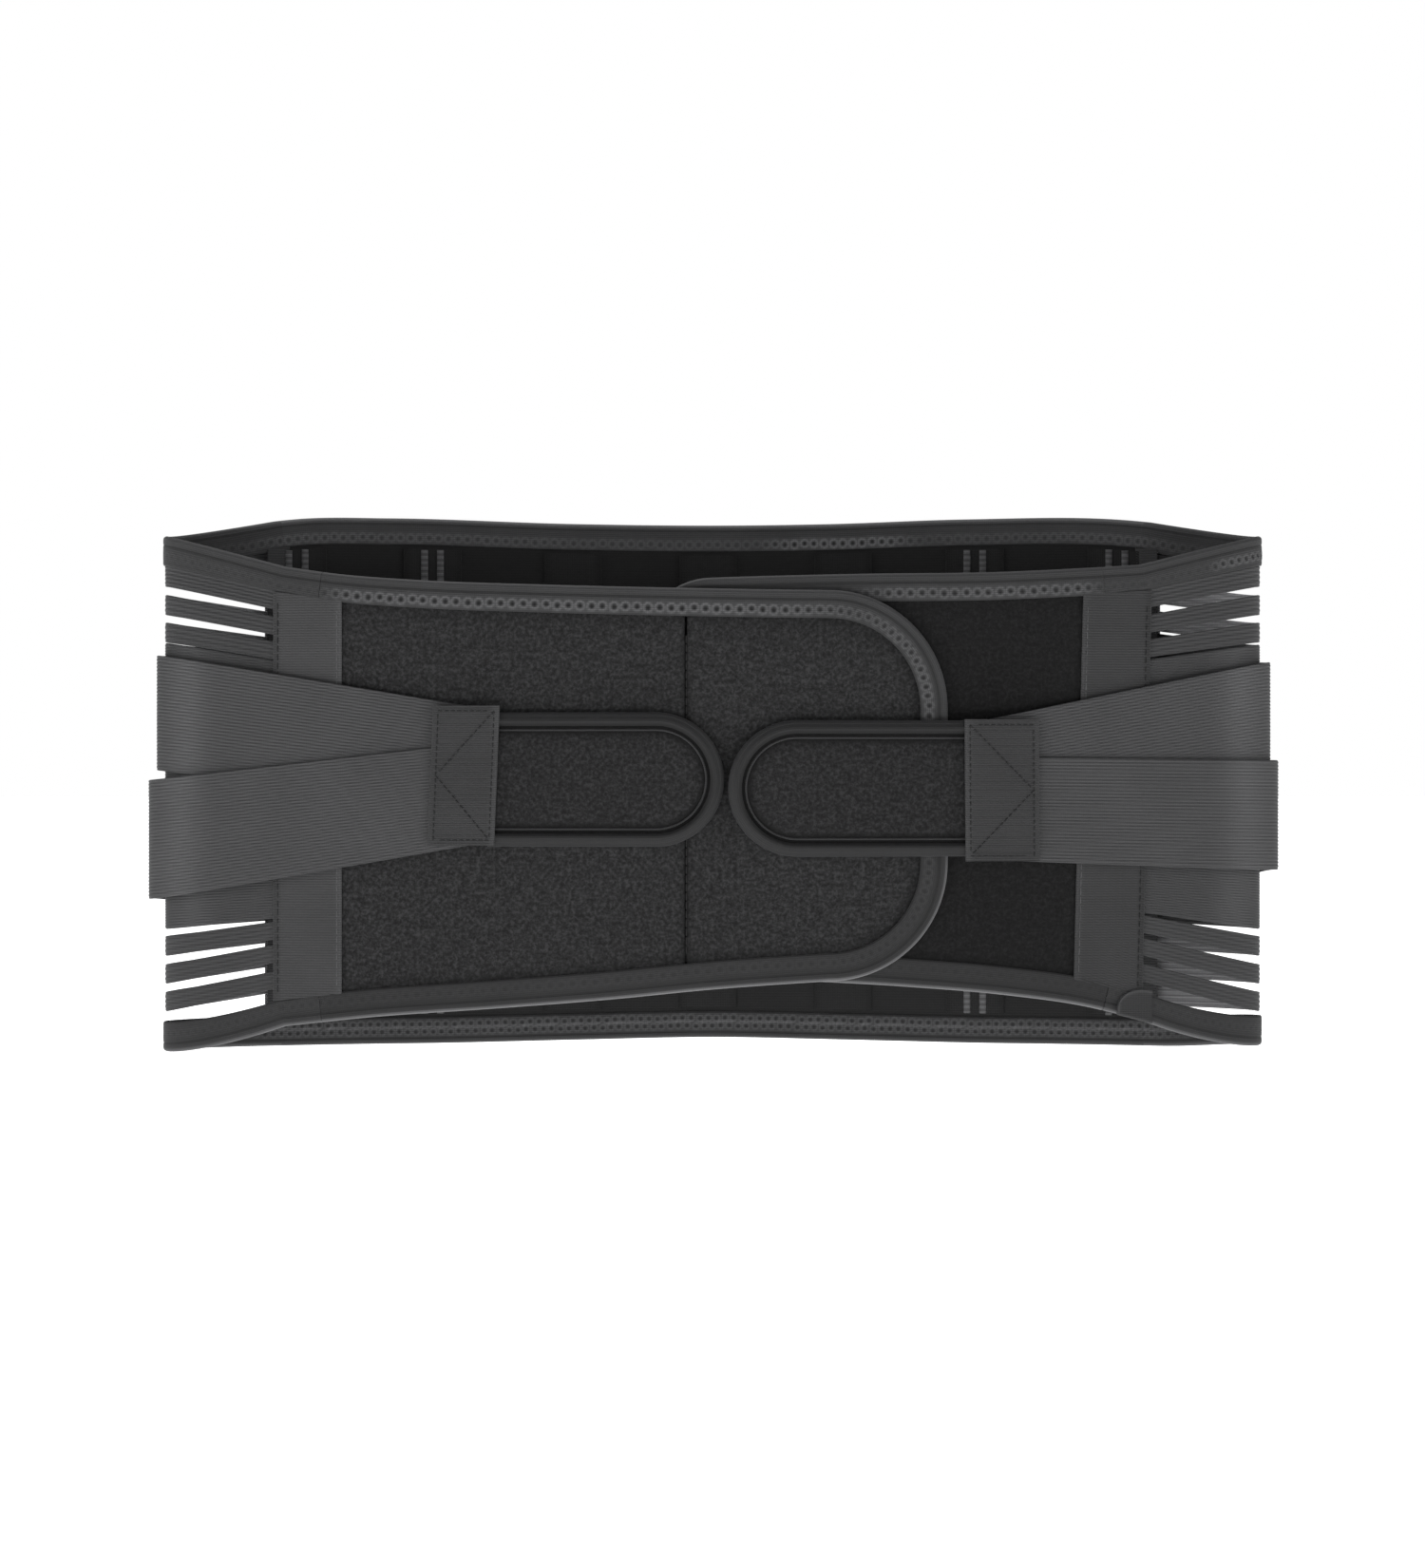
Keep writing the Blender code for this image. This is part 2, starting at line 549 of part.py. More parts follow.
def build_pull(side):
    pull = PULLS[side]
    parent = f"{side}_pull"
    sign = SIDES[side]
    for level in ("upper", "lower"):
        pull_strap(side, level, pull)
    base = pull["pad_offset"]
    columns = tab_columns(side, pull, EDGE_INSET)
    front_panel(f"{side}_tab_pad", "loop_felt", columns, lambda x: base, parent, PAD)
    edge_binding(f"{side}_tab_edging", columns, lambda x: base,
                 PAD / 2 + GAP / 2 + TAPE / 2, TAB_EDGING_WIDTH - EDGE_INSET, parent)
    low, high = pull["tab_z"][0] - pull["tab_z"][1], pull["tab_z"][0] + pull["tab_z"][1]
    rim = TAB_EDGING_WIDTH + TAB_HOOK_RIM
    hook = [(sign * x, low + rim, high - rim)
            for x in spread(pull["tab_x"] - TAB_HOOK_START, pull["tip_x"] + TAB_HOOK_END, 6)]
    front_panel(f"{side}_tab_hook", "hook_tape", hook,
                lambda x: base - PAD / 2 - GAP / 2 - HOOK / 2, parent, HOOK)
    patch = [(sign * x, *pull["patch_z"]) for x in spread(*pull["patch_x"], 5)]
    front_panel(f"{side}_tab_patch", "grosgrain", patch,
                lambda x: base + PAD / 2 + GAP + PATCH_LIFT, parent, TAPE)


def main():
    build_back()
    build_left_front()
    build_right_front()
    for side in SIDES:
        build_side(side)
        build_pull(side)


clear_scene()
PARTS = bpy.data.collections.new("lumbar_support_belt")
bpy.context.scene.collection.children.link(PARTS)
AXES = make_axes(PARTS)
main()
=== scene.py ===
"""Looks of the lumbar support belt: every cloth, elastic, tape and thread of it.

All cloth lies on one wall that runs round the belt's loop. A place on it is (s, z, offset):
s metres along the loop from the middle of the back past the right fold, z metres over the
belt's middle line, and offset metres outward. Grids of such places become closed pieces.
"""
import json
import math

import bpy
import numpy as np
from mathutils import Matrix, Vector


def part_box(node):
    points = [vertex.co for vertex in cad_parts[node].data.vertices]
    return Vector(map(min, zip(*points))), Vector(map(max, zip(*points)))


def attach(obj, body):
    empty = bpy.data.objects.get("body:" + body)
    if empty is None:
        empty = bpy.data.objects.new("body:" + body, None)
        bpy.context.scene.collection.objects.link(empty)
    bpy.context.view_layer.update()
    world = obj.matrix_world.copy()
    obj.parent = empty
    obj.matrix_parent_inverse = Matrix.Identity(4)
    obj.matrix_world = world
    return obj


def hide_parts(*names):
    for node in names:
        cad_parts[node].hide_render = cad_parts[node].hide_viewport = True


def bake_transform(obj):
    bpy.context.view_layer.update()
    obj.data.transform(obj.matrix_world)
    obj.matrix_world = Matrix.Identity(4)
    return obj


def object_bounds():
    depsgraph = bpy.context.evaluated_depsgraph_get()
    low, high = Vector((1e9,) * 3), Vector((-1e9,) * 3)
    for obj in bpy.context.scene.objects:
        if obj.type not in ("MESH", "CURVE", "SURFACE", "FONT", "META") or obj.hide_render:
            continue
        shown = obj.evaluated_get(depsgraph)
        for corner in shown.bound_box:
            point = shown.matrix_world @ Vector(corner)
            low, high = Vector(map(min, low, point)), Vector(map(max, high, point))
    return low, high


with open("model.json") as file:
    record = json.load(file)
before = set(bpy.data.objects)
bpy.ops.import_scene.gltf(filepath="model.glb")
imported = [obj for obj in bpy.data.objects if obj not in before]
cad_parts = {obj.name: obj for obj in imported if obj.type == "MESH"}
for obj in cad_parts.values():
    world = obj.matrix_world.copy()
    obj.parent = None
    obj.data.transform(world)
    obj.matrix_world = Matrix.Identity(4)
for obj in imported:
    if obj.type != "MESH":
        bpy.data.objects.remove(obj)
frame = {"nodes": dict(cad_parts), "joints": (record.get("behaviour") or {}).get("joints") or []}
CAD_LOW, CAD_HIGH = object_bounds()

# ---------------------------------------------------------------- sizes
ELASTIC, WEBBING, TAPE, PANEL, PAD = 0.0016, 0.0014, 0.0007, 0.0024, 0.0024
LINING, HOOK, GAP = 0.0010, 0.0006, 0.0004
BINDING_WIDTH, EDGE_INSET = 0.0115, 0.0013
TAB_EDGING_WIDTH = 0.0052
OVERLAP_SHIFT, OVER_GROSGRAIN = 0.0024, 0.0052
LOOP_POWER = 1.85


def low(node):
    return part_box(node)[0]


def high(node):
    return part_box(node)[1]


JOINTS = {joint["name"]: joint for joint in frame["joints"]}
CENTRE_X = (low("left_wide_elastic")[0] + high("right_wide_elastic")[0]) / 2
CENTRE_Y, MID_Z = JOINTS["left_front_open"]["pos_m"][1:]
HALF_WIDTH = (high("right_wide_elastic")[0] - low("left_wide_elastic")[0] - ELASTIC) / 2
BACK_OUT = PANEL / 2 + 0.0009
BACK_OUTER_FACE = BACK_OUT + PANEL / 2
LINING_OFFSET = -0.0027
LINING_INNER_FACE = LINING_OFFSET - LINING / 2
BACK_DEPTH = high("back_panel")[1] - CENTRE_Y - BACK_OUTER_FACE
FRONT_DEPTH = 0.055

BACK_END_X, FRONT_END_X = 0.1860, 0.1600
SIDE_BACK_X, SIDE_FRONT_X, SIDE_REACH_X = 0.1880, 0.1630, 0.1760
CLOSURE_TIP_X, CLOSURE_SEAM_X, CLOSURE_RADIUS = 0.0955, -0.0108, 0.048
INNER_TIP_X, INNER_RADIUS = -0.0300, 0.030
STAY_XS = (-0.1795, -0.1218, -0.061, -0.002, 0.057, 0.1142, 0.1748)
SPIRAL_STAYS = (0, 1, 5, 6)
CHANNEL_WIDTH, RIB_SPACING = 0.025, 0.0068
GROSGRAIN_X = (0.1516, 0.1805)
STRAP_BACK_X, ANCHOR_X = 0.1700, (0.1660, 0.1905)

BACK_TOP = ((-0.21, 0.112), (-0.175, 0.117), (-0.14, 0.1177), (-0.06, 0.116), (0.0, 0.1155),
            (0.05, 0.116), (0.11, 0.1176), (0.175, 0.1165), (0.21, 0.112))
BACK_BOTTOM = ((-0.21, -0.1095), (-0.15, -0.1095), (-0.12, -0.1095), (-0.06, -0.1086),
               (0.0, -0.1076), (0.06, -0.1086), (0.12, -0.1095), (0.15, -0.1095),
               (0.21, -0.1095))
OUTER_TOP = ((-0.18, 0.0930), (-0.153, 0.0890), (-0.12, 0.0862), (-0.07, 0.0840),
             (0.0, 0.0822), (0.12, 0.0812))
OUTER_BOTTOM = ((-0.18, -0.0975), (-0.14, -0.0928), (-0.09, -0.0888), (-0.04, -0.0846),
                (0.0, -0.0806), (0.05, -0.0772), (0.12, -0.0740))
INNER_TOP = ((-0.06, 0.0840), (0.0, 0.0868), (0.06, 0.0885), (0.12, 0.0897), (0.153, 0.0915),
             (0.18, 0.0935))
INNER_BOTTOM = ((-0.06, -0.0740), (0.0, -0.0760), (0.08, -0.0800), (0.12, -0.0836),
                (0.153, -0.0885), (0.18, -0.0955))
FOLD_BOTTOM, FOLD_TOP = -0.1095, 0.1070
BAND_RISE = 1.5           # in front of the fold the bottom band rises with this power
RIGHT_BAND_RISE = 0.0025  # the right bottom band is drawn up this much at the fold
SIDE_PIECES = (           # name, heights of its edges at the fold, and its lift in front
    ("top_band", 0.0946, FOLD_TOP, 0.0),
    ("fishbone_1", 0.0857, 0.0941, 0.0),
    ("fishbone_2", 0.0738, 0.0823, 0.0),
    ("fishbone_3", 0.0623, 0.0707, 0.0),
    ("wide_elastic", -0.0582, 0.0614, 0.0),
    ("fishbone_4", -0.0695, -0.0611, 0.0015),
    ("fishbone_5", -0.0812, -0.0729, 0.0024),
    ("fishbone_6", -0.0928, -0.0845, 0.0018),
    ("bottom_band", FOLD_BOTTOM, -0.0970, 0.0),
)
REAR_LIKE_FRONT = ("left_fishbone_2", "left_fishbone_3", "left_wide_elastic",
                   "left_fishbone_4", "left_fishbone_5", "left_fishbone_6")
REAR_SPREAD = 0.04        # these climb behind the fold as they do in front, and this much more
PULLS = {
    "left": {
        "patch_x": (0.0850, 0.1120), "patch_z": (-0.0222, 0.0346), "tip_x": -0.0046,
        "tab_x": 0.0905, "tab_z": (0.0046, 0.0272), "pad_offset": 0.0073, "strap_end_x": 0.0925,
        "upper": ((0.0120, 0.0620), (0.0085, 0.0568), (-0.0080, 0.0335)),
        "lower": ((-0.0580, -0.0080), (-0.0455, 0.0045), (-0.0212, 0.0200)),
        "upper_bulge": 0.0036, "lower_bulge": 0.0070,
    },
    "right": {
        "patch_x": (0.1005, 0.1305), "patch_z": (-0.0286, 0.0290), "tip_x": 0.0062,
        "tab_x": 0.1065, "tab_z": (0.0010, 0.0276), "pad_offset": 0.0089, "strap_end_x": 0.1085,
        "upper": ((0.0120, 0.0620), (0.0060, 0.0540), (-0.0150, 0.0285)),
        "lower": ((-0.0580, -0.0080), (-0.0332, 0.0128), (-0.0280, 0.0140)),
        "upper_bulge": 0.0045, "lower_bulge": 0.0078,
    },
}
SIDES = {"left": -1, "right": 1}
EYELET_PITCH = 0.0046
RIM_STEP, RIB_STEP = 0.0011, 0.00026          # grid along a front's rim, and across ribs
BINDING_STEP, EYELET_STEP = 0.0005, 0.00038   # grid along a binding, and over its eyelets
LINE_POINTS = 300         # along one upright line of stitches
DASH_POINTS, DASH_SINK, DASH_ARCH = 5, 0.00010, 0.00022
# painted highlight on a binding's rolled outer edge
WHOLE_RIM_TONE = 1.65     # a binding's outer edge, against its face
CUT_SIZES = {}            # piece: width, length, area and hold of the flat cloth it is made of
RING_JITTER = np.random.default_rng(11).uniform(-1.0, 1.0, 97)


# ---------------------------------------------------------------- the wall
def run_length(first, second):
    """Length along a path from its start to each of its points."""
    return np.concatenate([[0.0], np.cumsum(np.hypot(np.diff(first), np.diff(second)))])


def make_loop(samples=6000):
    """Points, outward normals and lengths round the loop seen from above."""
    turn = np.linspace(0.0, 2.0 * math.pi, samples + 1)
    power = 2.0 / LOOP_POWER
    x = HALF_WIDTH * np.sign(np.sin(turn)) * np.abs(np.sin(turn)) ** power
    depth = np.where(np.cos(turn) > 0.0, BACK_DEPTH, FRONT_DEPTH)
    y = depth * np.sign(np.cos(turn)) * np.abs(np.cos(turn)) ** power
    return x, y, run_length(x, y)


LOOP_X, LOOP_Y, LOOP_S = make_loop()
GIRTH = LOOP_S[-1]
FOLD_S = LOOP_S[len(LOOP_S) // 4]
FRONT_S = LOOP_S[len(LOOP_S) // 2]


def loop_xy(s):
    s = np.mod(s, GIRTH)
    return np.interp(s, LOOP_S, LOOP_X), np.interp(s, LOOP_S, LOOP_Y)


def wall(s, z, offset):
    """Places on the wall as an array of points, one row of three for each."""
    s, z, offset = np.broadcast_arrays(*(np.asarray(a, float) for a in (s, z, offset)))
    x, y = loop_xy(s)
    ahead_x, ahead_y = loop_xy(s + 0.001)
    behind_x, behind_y = loop_xy(s - 0.001)
    dx, dy = ahead_x - behind_x, ahead_y - behind_y
    size = np.hypot(dx, dy)
    return np.stack([CENTRE_X + x - offset * dy / size, CENTRE_Y + y + offset * dx / size,
                     MID_Z + z], axis=-1)


def wall_normal(s):
    return wall(s, 0.0, 1.0) - wall(s, 0.0, 0.0)


QUARTER, HALF = len(LOOP_S) // 4, len(LOOP_S) // 2


def back(x):
    """Place along the loop of back points at X."""
    return np.sign(x) * np.interp(np.abs(x), LOOP_X[:QUARTER + 1], LOOP_S[:QUARTER + 1])


def front(x):
    """Place along the loop of front points at X."""
    at = np.interp(np.abs(x), LOOP_X[QUARTER:HALF + 1][::-1], LOOP_S[QUARTER:HALF + 1][::-1])
    return FRONT_S - np.sign(x) * (FRONT_S - at)


def curve_through(x, stations):
    """Smooth curve through (x, value) stations, by cubic pieces."""
    xs, values = (np.array(a) for a in zip(*stations))
    slopes = np.gradient(values, xs)
    x = np.clip(x, xs[0], xs[-1])
    i = np.clip(np.searchsorted(xs, x) - 1, 0, len(xs) - 2)
    span = xs[i + 1] - xs[i]
    t = (x - xs[i]) / span
    return ((2 * t**3 - 3 * t**2 + 1) * values[i] + (t**3 - 2 * t**2 + t) * span * slopes[i]
            + (3 * t**2 - 2 * t**3) * values[i + 1] + (t**3 - t**2) * span * slopes[i + 1])


def beside(stations, rise):
    """Line that keeps rise metres over the line through the stations."""
    return lambda x: curve_through(x, stations) + rise


def ease(x, start, end):
    """0 before start to 1 after end, with a smooth climb between them."""
    t = np.clip((np.asarray(x, float) - start) / (end - start), 0.0, 1.0)
    return t * t * (3.0 - 2.0 * t)


def round_edge(distance, radius):
    """0 at an edge to 1 a radius inside it, as a quarter circle rises."""
    t = 1.0 - np.clip(distance / radius, 0.0, 1.0)
    return np.sqrt(np.clip(1.0 - t * t, 0.0, 1.0))


def lumps(shape, cell, seed):
    """Smooth random relief between -1 and 1, with lumps about cell grid steps wide."""
    local = np.random.default_rng(seed)
    coarse = local.standard_normal((shape[0] // cell + 3, shape[1] // cell + 3))
    rows, columns = (np.arange(n) / cell for n in shape)
    i, j = rows.astype(int)[:, None], columns.astype(int)[None, :]
    a, b = (rows - rows.astype(int))[:, None], (columns - columns.astype(int))[None, :]
    a, b = a * a * (3 - 2 * a), b * b * (3 - 2 * b)
    mixed = ((coarse[i, j] * (1 - a) + coarse[i + 1, j] * a) * (1 - b)
             + (coarse[i, j + 1] * (1 - a) + coarse[i + 1, j + 1] * a) * b)
    return np.clip(mixed / 2.0, -1.0, 1.0)


# ---------------------------------------------------------------- meshes
def make_object(name, points, faces, uv, tone, look, sharp=55.0):
    """Mesh object with a UV map in metres and a tone that lightens or darkens its cloth."""
    mesh = bpy.data.meshes.new(name)
    mesh.from_pydata(points.tolist(), [], faces.tolist())
    layer = mesh.uv_layers.new(name="Cloth")
    corners = np.zeros(len(mesh.loops), dtype=np.int32)
    mesh.loops.foreach_get("vertex_index", corners)
    layer.data.foreach_set("uv", uv[corners].astype(np.float32).ravel())
    attribute = mesh.attributes.new("tone", "FLOAT", "POINT")
    attribute.data.foreach_set("value", tone.astype(np.float32).ravel())
    mesh.shade_smooth()
    mesh.set_sharp_from_angle(angle=math.radians(sharp))
    mesh.materials.append(LOOKS[look][0])
    obj = bpy.data.objects.new(name, mesh)
    bpy.context.scene.collection.objects.link(obj)
    return obj


def grid_faces(rows, columns, start, flip):
    i, j = np.meshgrid(np.arange(rows - 1), np.arange(columns - 1), indexing="ij")
    a = (start + i * columns + j).ravel()
    quads = np.stack([a, a + 1, a + columns + 1, a + columns], axis=1)
    return quads[:, ::-1] if flip else quads


def slab(name, look, s, z, outer, inner, tone=1.0, inner_tone=1.0):
    """Closed cloth piece from grids of places: outer face, inner face and rim."""
    s, z, outer, inner, tone = np.broadcast_arrays(s, z, outer, inner, tone)
    if s[-1, 0] < s[0, 0]:
        s, z, outer, inner, tone = (a[::-1] for a in (s, z, outer, inner, tone))
    rows, columns = s.shape
    points = np.concatenate([wall(s, z, outer).reshape(-1, 3), wall(s, z, inner).reshape(-1, 3)])
    count = rows * columns
    index = np.arange(count).reshape(rows, columns)
    rim = np.concatenate([index[0, :-1], index[:-1, -1], index[-1, :0:-1], index[:0:-1, 0]])
    following = np.roll(rim, -1)
    sides = np.stack([rim, rim + count, following + count, following], axis=1)
    faces = np.concatenate([grid_faces(rows, columns, 0, False),
                            grid_faces(rows, columns, count, True), sides])
    uv = np.tile(np.stack([s.ravel(), z.ravel()], axis=1), (2, 1))
    tones = np.concatenate([tone.ravel(), inner_tone * tone.ravel()])
    area = np.abs(np.diff(s, axis=0)[:, :-1] * np.diff(z, axis=1)[:-1]).sum()
    CUT_SIZES[name] = (np.ptp(z), np.ptp(s), area, "laid")
    return make_object(name, points, faces, uv, tones, look)


def sweep(name, look, rings, uv, tone, sharp=55.0):
    """Closed piece from rings of points, with its two ends capped."""
    rows, columns = rings.shape[:2]
    points = rings.reshape(-1, 3)
    i, j = np.meshgrid(np.arange(rows - 1), np.arange(columns), indexing="ij")
    a, b = (i * columns + j).ravel(), (i * columns + (j + 1) % columns).ravel()
    faces = np.stack([a, b, b + columns, a + columns], axis=1).tolist()
    faces += [list(range(columns))[::-1], list(range((rows - 1) * columns, rows * columns))]
    middle, ring = rings[rows // 2].mean(axis=0), rings[rows // 2]
    onward = rings[rows // 2 + 1].mean(axis=0) - middle
    turning = np.cross(ring - middle, np.roll(ring, -1, axis=0) - middle).sum(axis=0)
    if turning @ onward > 0.0:
        faces = [face[::-1] for face in faces]
    flat_uv = uv.reshape(-1, 2)
    return make_object(name, points, np.array(faces, dtype=object), flat_uv, tone.reshape(-1),
                       look, sharp)


def threads(name, look, paths, radius, sides=6):
    """Thin threads on the wall: each path is (s, z, offset) arrays; all are one piece."""
    points, faces, tones = [], [], []
    turns = np.linspace(0.0, 2.0 * math.pi, sides, endpoint=False)
    start = 0
    for s, z, offset in paths:
        centre = wall(s, z, offset)
        up = wall_normal(np.broadcast_to(s, centre.shape[:1]))
        along = np.gradient(centre, axis=0)
        along /= np.linalg.norm(along, axis=1, keepdims=True) + 1e-12
        across = np.cross(along, up)
        across /= np.linalg.norm(across, axis=1, keepdims=True) + 1e-12
        up = np.cross(across, along)
        rings = (centre[:, None] + radius * (np.cos(turns)[None, :, None] * across[:, None]
                                             + np.sin(turns)[None, :, None] * up[:, None]))
        rows = len(centre)
        i, j = np.meshgrid(np.arange(rows - 1), np.arange(sides), indexing="ij")
        a = start + (i * sides + j).ravel()
        b = start + (i * sides + (j + 1) % sides).ravel()
        faces += np.stack([a, b, b + sides, a + sides], axis=1).tolist()
        faces.append(list(range(start, start + sides))[::-1])
        faces.append(list(range(start + (rows - 1) * sides, start + rows * sides)))
        points.append(rings.reshape(-1, 3))
        start += rows * sides
    points = np.concatenate(points)
    uv = points[:, [0, 2]]
    return make_object(name, points, np.array(faces, dtype=object), uv, np.ones(len(points)), look)


# ---------------------------------------------------------------- materials
def new_material(name, roughness, sheen):
    material = bpy.data.materials.new(name)
    material.use_nodes = True
    tree = material.node_tree
    shader = tree.nodes["Principled BSDF"]
    shader.inputs["Roughness"].default_value = roughness
    shader.inputs["Sheen Weight"].default_value = sheen
    shader.inputs["Sheen Roughness"].default_value = 0.45
    shader.inputs["Sheen Tint"].default_value = (0.75, 0.77, 0.80, 1.0)
    shader.inputs["Specular IOR Level"].default_value = 0.25
    return material, tree, shader


def math_node(tree, operation, first, second=None):
    """Math node on values or sockets; MULTIPLY_ADD adds the 0.5 of its last socket."""
    node = tree.nodes.new("ShaderNodeMath")
    node.operation = operation
    for socket, value in zip(node.inputs, (first, second)):
        if value is None:
            continue
        if isinstance(value, (int, float)):
            socket.default_value = value
        else:
            tree.links.new(value, socket)
    return node.outputs[0]


def cloth_coordinates(tree):
    uv = tree.nodes.new("ShaderNodeUVMap")
    uv.uv_map = "Cloth"
    split = tree.nodes.new("ShaderNodeSeparateXYZ")
    tree.links.new(uv.outputs[0], split.inputs[0])
    return uv.outputs[0], split.outputs[0], split.outputs[1]


def noise(tree, vector, scale, detail, roughness):
    node = tree.nodes.new("ShaderNodeTexNoise")
    node.inputs["Scale"].default_value = scale
    node.inputs["Detail"].default_value = detail
    node.inputs["Roughness"].default_value = roughness
    tree.links.new(vector, node.inputs["Vector"])
    return node.outputs[0]


def ramp(tree, value, stops):
    node = tree.nodes.new("ShaderNodeValToRGB")
    elements = node.color_ramp.elements
    while len(elements) < len(stops):
        elements.new(0.5)
    for element, (place, colour) in zip(elements, stops):
        element.position = place
        element.color = (*colour, 1.0)
    tree.links.new(value, node.inputs[0])
    return node.outputs[0]


def wave(tree, coordinate, pitch):
    """0 to 1 wave along a coordinate in metres."""
    turned = math_node(tree, "MULTIPLY", coordinate, 2.0 * math.pi / pitch)
    return math_node(tree, "MULTIPLY_ADD", math_node(tree, "SINE", turned), 0.5)


def finish_cloth(tree, shader, colour, height, strength, distance):
    """Colour times the mesh's own tone, and bump from a height in 0 to 1."""
    attribute = tree.nodes.new("ShaderNodeAttribute")
    attribute.attribute_name = "tone"
    mix = tree.nodes.new("ShaderNodeVectorMath")
    mix.operation = "SCALE"
    tree.links.new(colour, mix.inputs[0])
    tree.links.new(attribute.outputs["Fac"], mix.inputs["Scale"])
    tree.links.new(mix.outputs[0], shader.inputs["Base Color"])
    bump = tree.nodes.new("ShaderNodeBump")
    bump.inputs["Strength"].default_value = strength
    bump.inputs["Distance"].default_value = distance
    tree.links.new(height, bump.inputs["Height"])
    tree.links.new(bump.outputs[0], shader.inputs["Normal"])


def grey(value, blue=1.03):
    return (value, value, value * blue)


def felt(name, base, sheen=0.10):
    """Brushed loop felt: tangled fibre specks of light and dark, no weave."""
    material, tree, shader = new_material(name, 0.95, sheen)
    uv, _, _ = cloth_coordinates(tree)
    fibres = noise(tree, uv, 640.0, 3.0, 0.68)
    clumps = noise(tree, uv, 230.0, 2.0, 0.6)
    both = math_node(tree, "ADD", math_node(tree, "MULTIPLY", fibres, 0.78),
                     math_node(tree, "MULTIPLY", clumps, 0.22))
    colour = ramp(tree, both, ((0.38, grey(base * 0.30)), (0.50, grey(base * 0.95)),
                               (0.62, grey(base * 2.1))))
    finish_cloth(tree, shader, colour, both, 0.7, 0.0006)
    return material


def woven(name, base, rib_pitch, pick_pitch, ribs_along_u, sheen=0.06, contrast=0.40,
          bump=0.45):
    """Ribbed narrow cloth: ribs one way, crossed by finer picks."""
    material, tree, shader = new_material(name, 0.72, sheen)
    uv, u, v = cloth_coordinates(tree)
    across, along = (v, u) if ribs_along_u else (u, v)
    ribs = wave(tree, across, rib_pitch)
    picks = wave(tree, along, pick_pitch)
    weave = math_node(tree, "MULTIPLY", ribs, math_node(tree, "MULTIPLY_ADD", picks, 0.5))
    fuzz = noise(tree, uv, 900.0, 3.0, 0.6)
    patches = noise(tree, uv, 35.0, 2.0, 0.5)
    value = math_node(tree, "ADD", math_node(tree, "MULTIPLY", weave, 0.5),
                      math_node(tree, "ADD", math_node(tree, "MULTIPLY", fuzz, 0.3),
                                math_node(tree, "MULTIPLY", patches, 0.3)))
    colour = ramp(tree, value, ((0.15, grey(base * (1.0 - contrast))), (0.55, grey(base)),
                                (0.95, grey(base * (1.0 + contrast)))))
    finish_cloth(tree, shader, colour, value, bump, 0.0003)
    return material


def plain(name, base, roughness, metallic=0.0, scratch=0.15):
    """Moulded or metal part, with faint streaks along it."""
    material, tree, shader = new_material(name, roughness, 0.0)
    shader.inputs["Metallic"].default_value = metallic
    coordinates = tree.nodes.new("ShaderNodeTexCoord")
    streaks = noise(tree, coordinates.outputs["Object"], 220.0, 3.0, 0.6)
    colour = ramp(tree, streaks, ((0.3, grey(base * (1.0 - scratch), 1.0)),
                                  (0.7, grey(base * (1.0 + scratch), 1.0))))
    tree.links.new(colour, shader.inputs["Base Color"])
    return material


LOOKS = {  # look: material and the record's slot
    "felt": (felt("loop_felt_cloth", 0.0115, 0.08), "loop_felt"),
    "tab_felt": (felt("tab_felt_cloth", 0.0088), "loop_felt"),
    # darker felt of the inner front; part of its darkness is painted shade over the belt's right
    # side
    "dark_felt": (felt("inner_felt_cloth", 0.0034, 0.05), "loop_felt"),
    "lining": (woven("lining_cloth", 0.0050, 0.0011, 0.0013, True), "lining_mesh"),
    "grosgrain": (woven("grosgrain_cloth", 0.032, 0.00105, 0.0006, True), "grosgrain"),
    "patch": (woven("patch_cloth", 0.0235, 0.0009, 0.0006, True, contrast=0.60), "grosgrain"),
    "binding": (woven("binding_cloth", 0.0180, 0.0008, 0.0008, True), "binding_tape"),
    # a lighter copy of the binding cloth for the back's top binding inside the loop: its extra
    # lightness is painted light
    "dark_binding": (woven("back_binding_cloth", 0.040, 0.0008, 0.0008, True), "binding_tape"),
    "edging": (woven("edging_cloth", 0.0085, 0.0009, 0.0008, True), "binding_tape"),
    "elastic": (woven("elastic_cloth", 0.028, 0.00118, 0.0007, True), "elastic_webbing"),
    "strap": (woven("strap_cloth", 0.036, 0.00118, 0.00075, True), "elastic_webbing"),
    "channel": (woven("channel_cloth", 0.0065, 0.0010, 0.0010, False), "channel_tape"),
    "channel_rib": (woven("channel_rib_cloth", 0.075, 0.0008, 0.0009, False), "channel_tape"),
    "hook": (felt("hook_cloth", 0.010), "hook_tape"),
    "thread": (woven("thread_cloth", 0.060, 0.0007, 0.0006, False), "binding_tape"),
    "dark_thread": (woven("dark_thread_cloth", 0.006, 0.0007, 0.0006, False), "binding_tape"),
}
STEEL = plain("spring_steel_metal", 0.55, 0.35, 1.0)
STAY_PLASTIC = plain("stay_plastic_moulded", 0.62, 0.5)


# ---------------------------------------------------------------- ribbons of cloth
def cross_samples(width, step, edge):
    """Shares across a ribbon: even, with more points where its edges round off."""
    count = max(int(round(width / step)), 4)
    near = edge / width
    inner = np.linspace(near, 1.0 - near, count)
    return np.concatenate([[0.0, near * 0.15, near * 0.45], inner,
                           [1.0 - near * 0.45, 1.0 - near * 0.15, 1.0]])


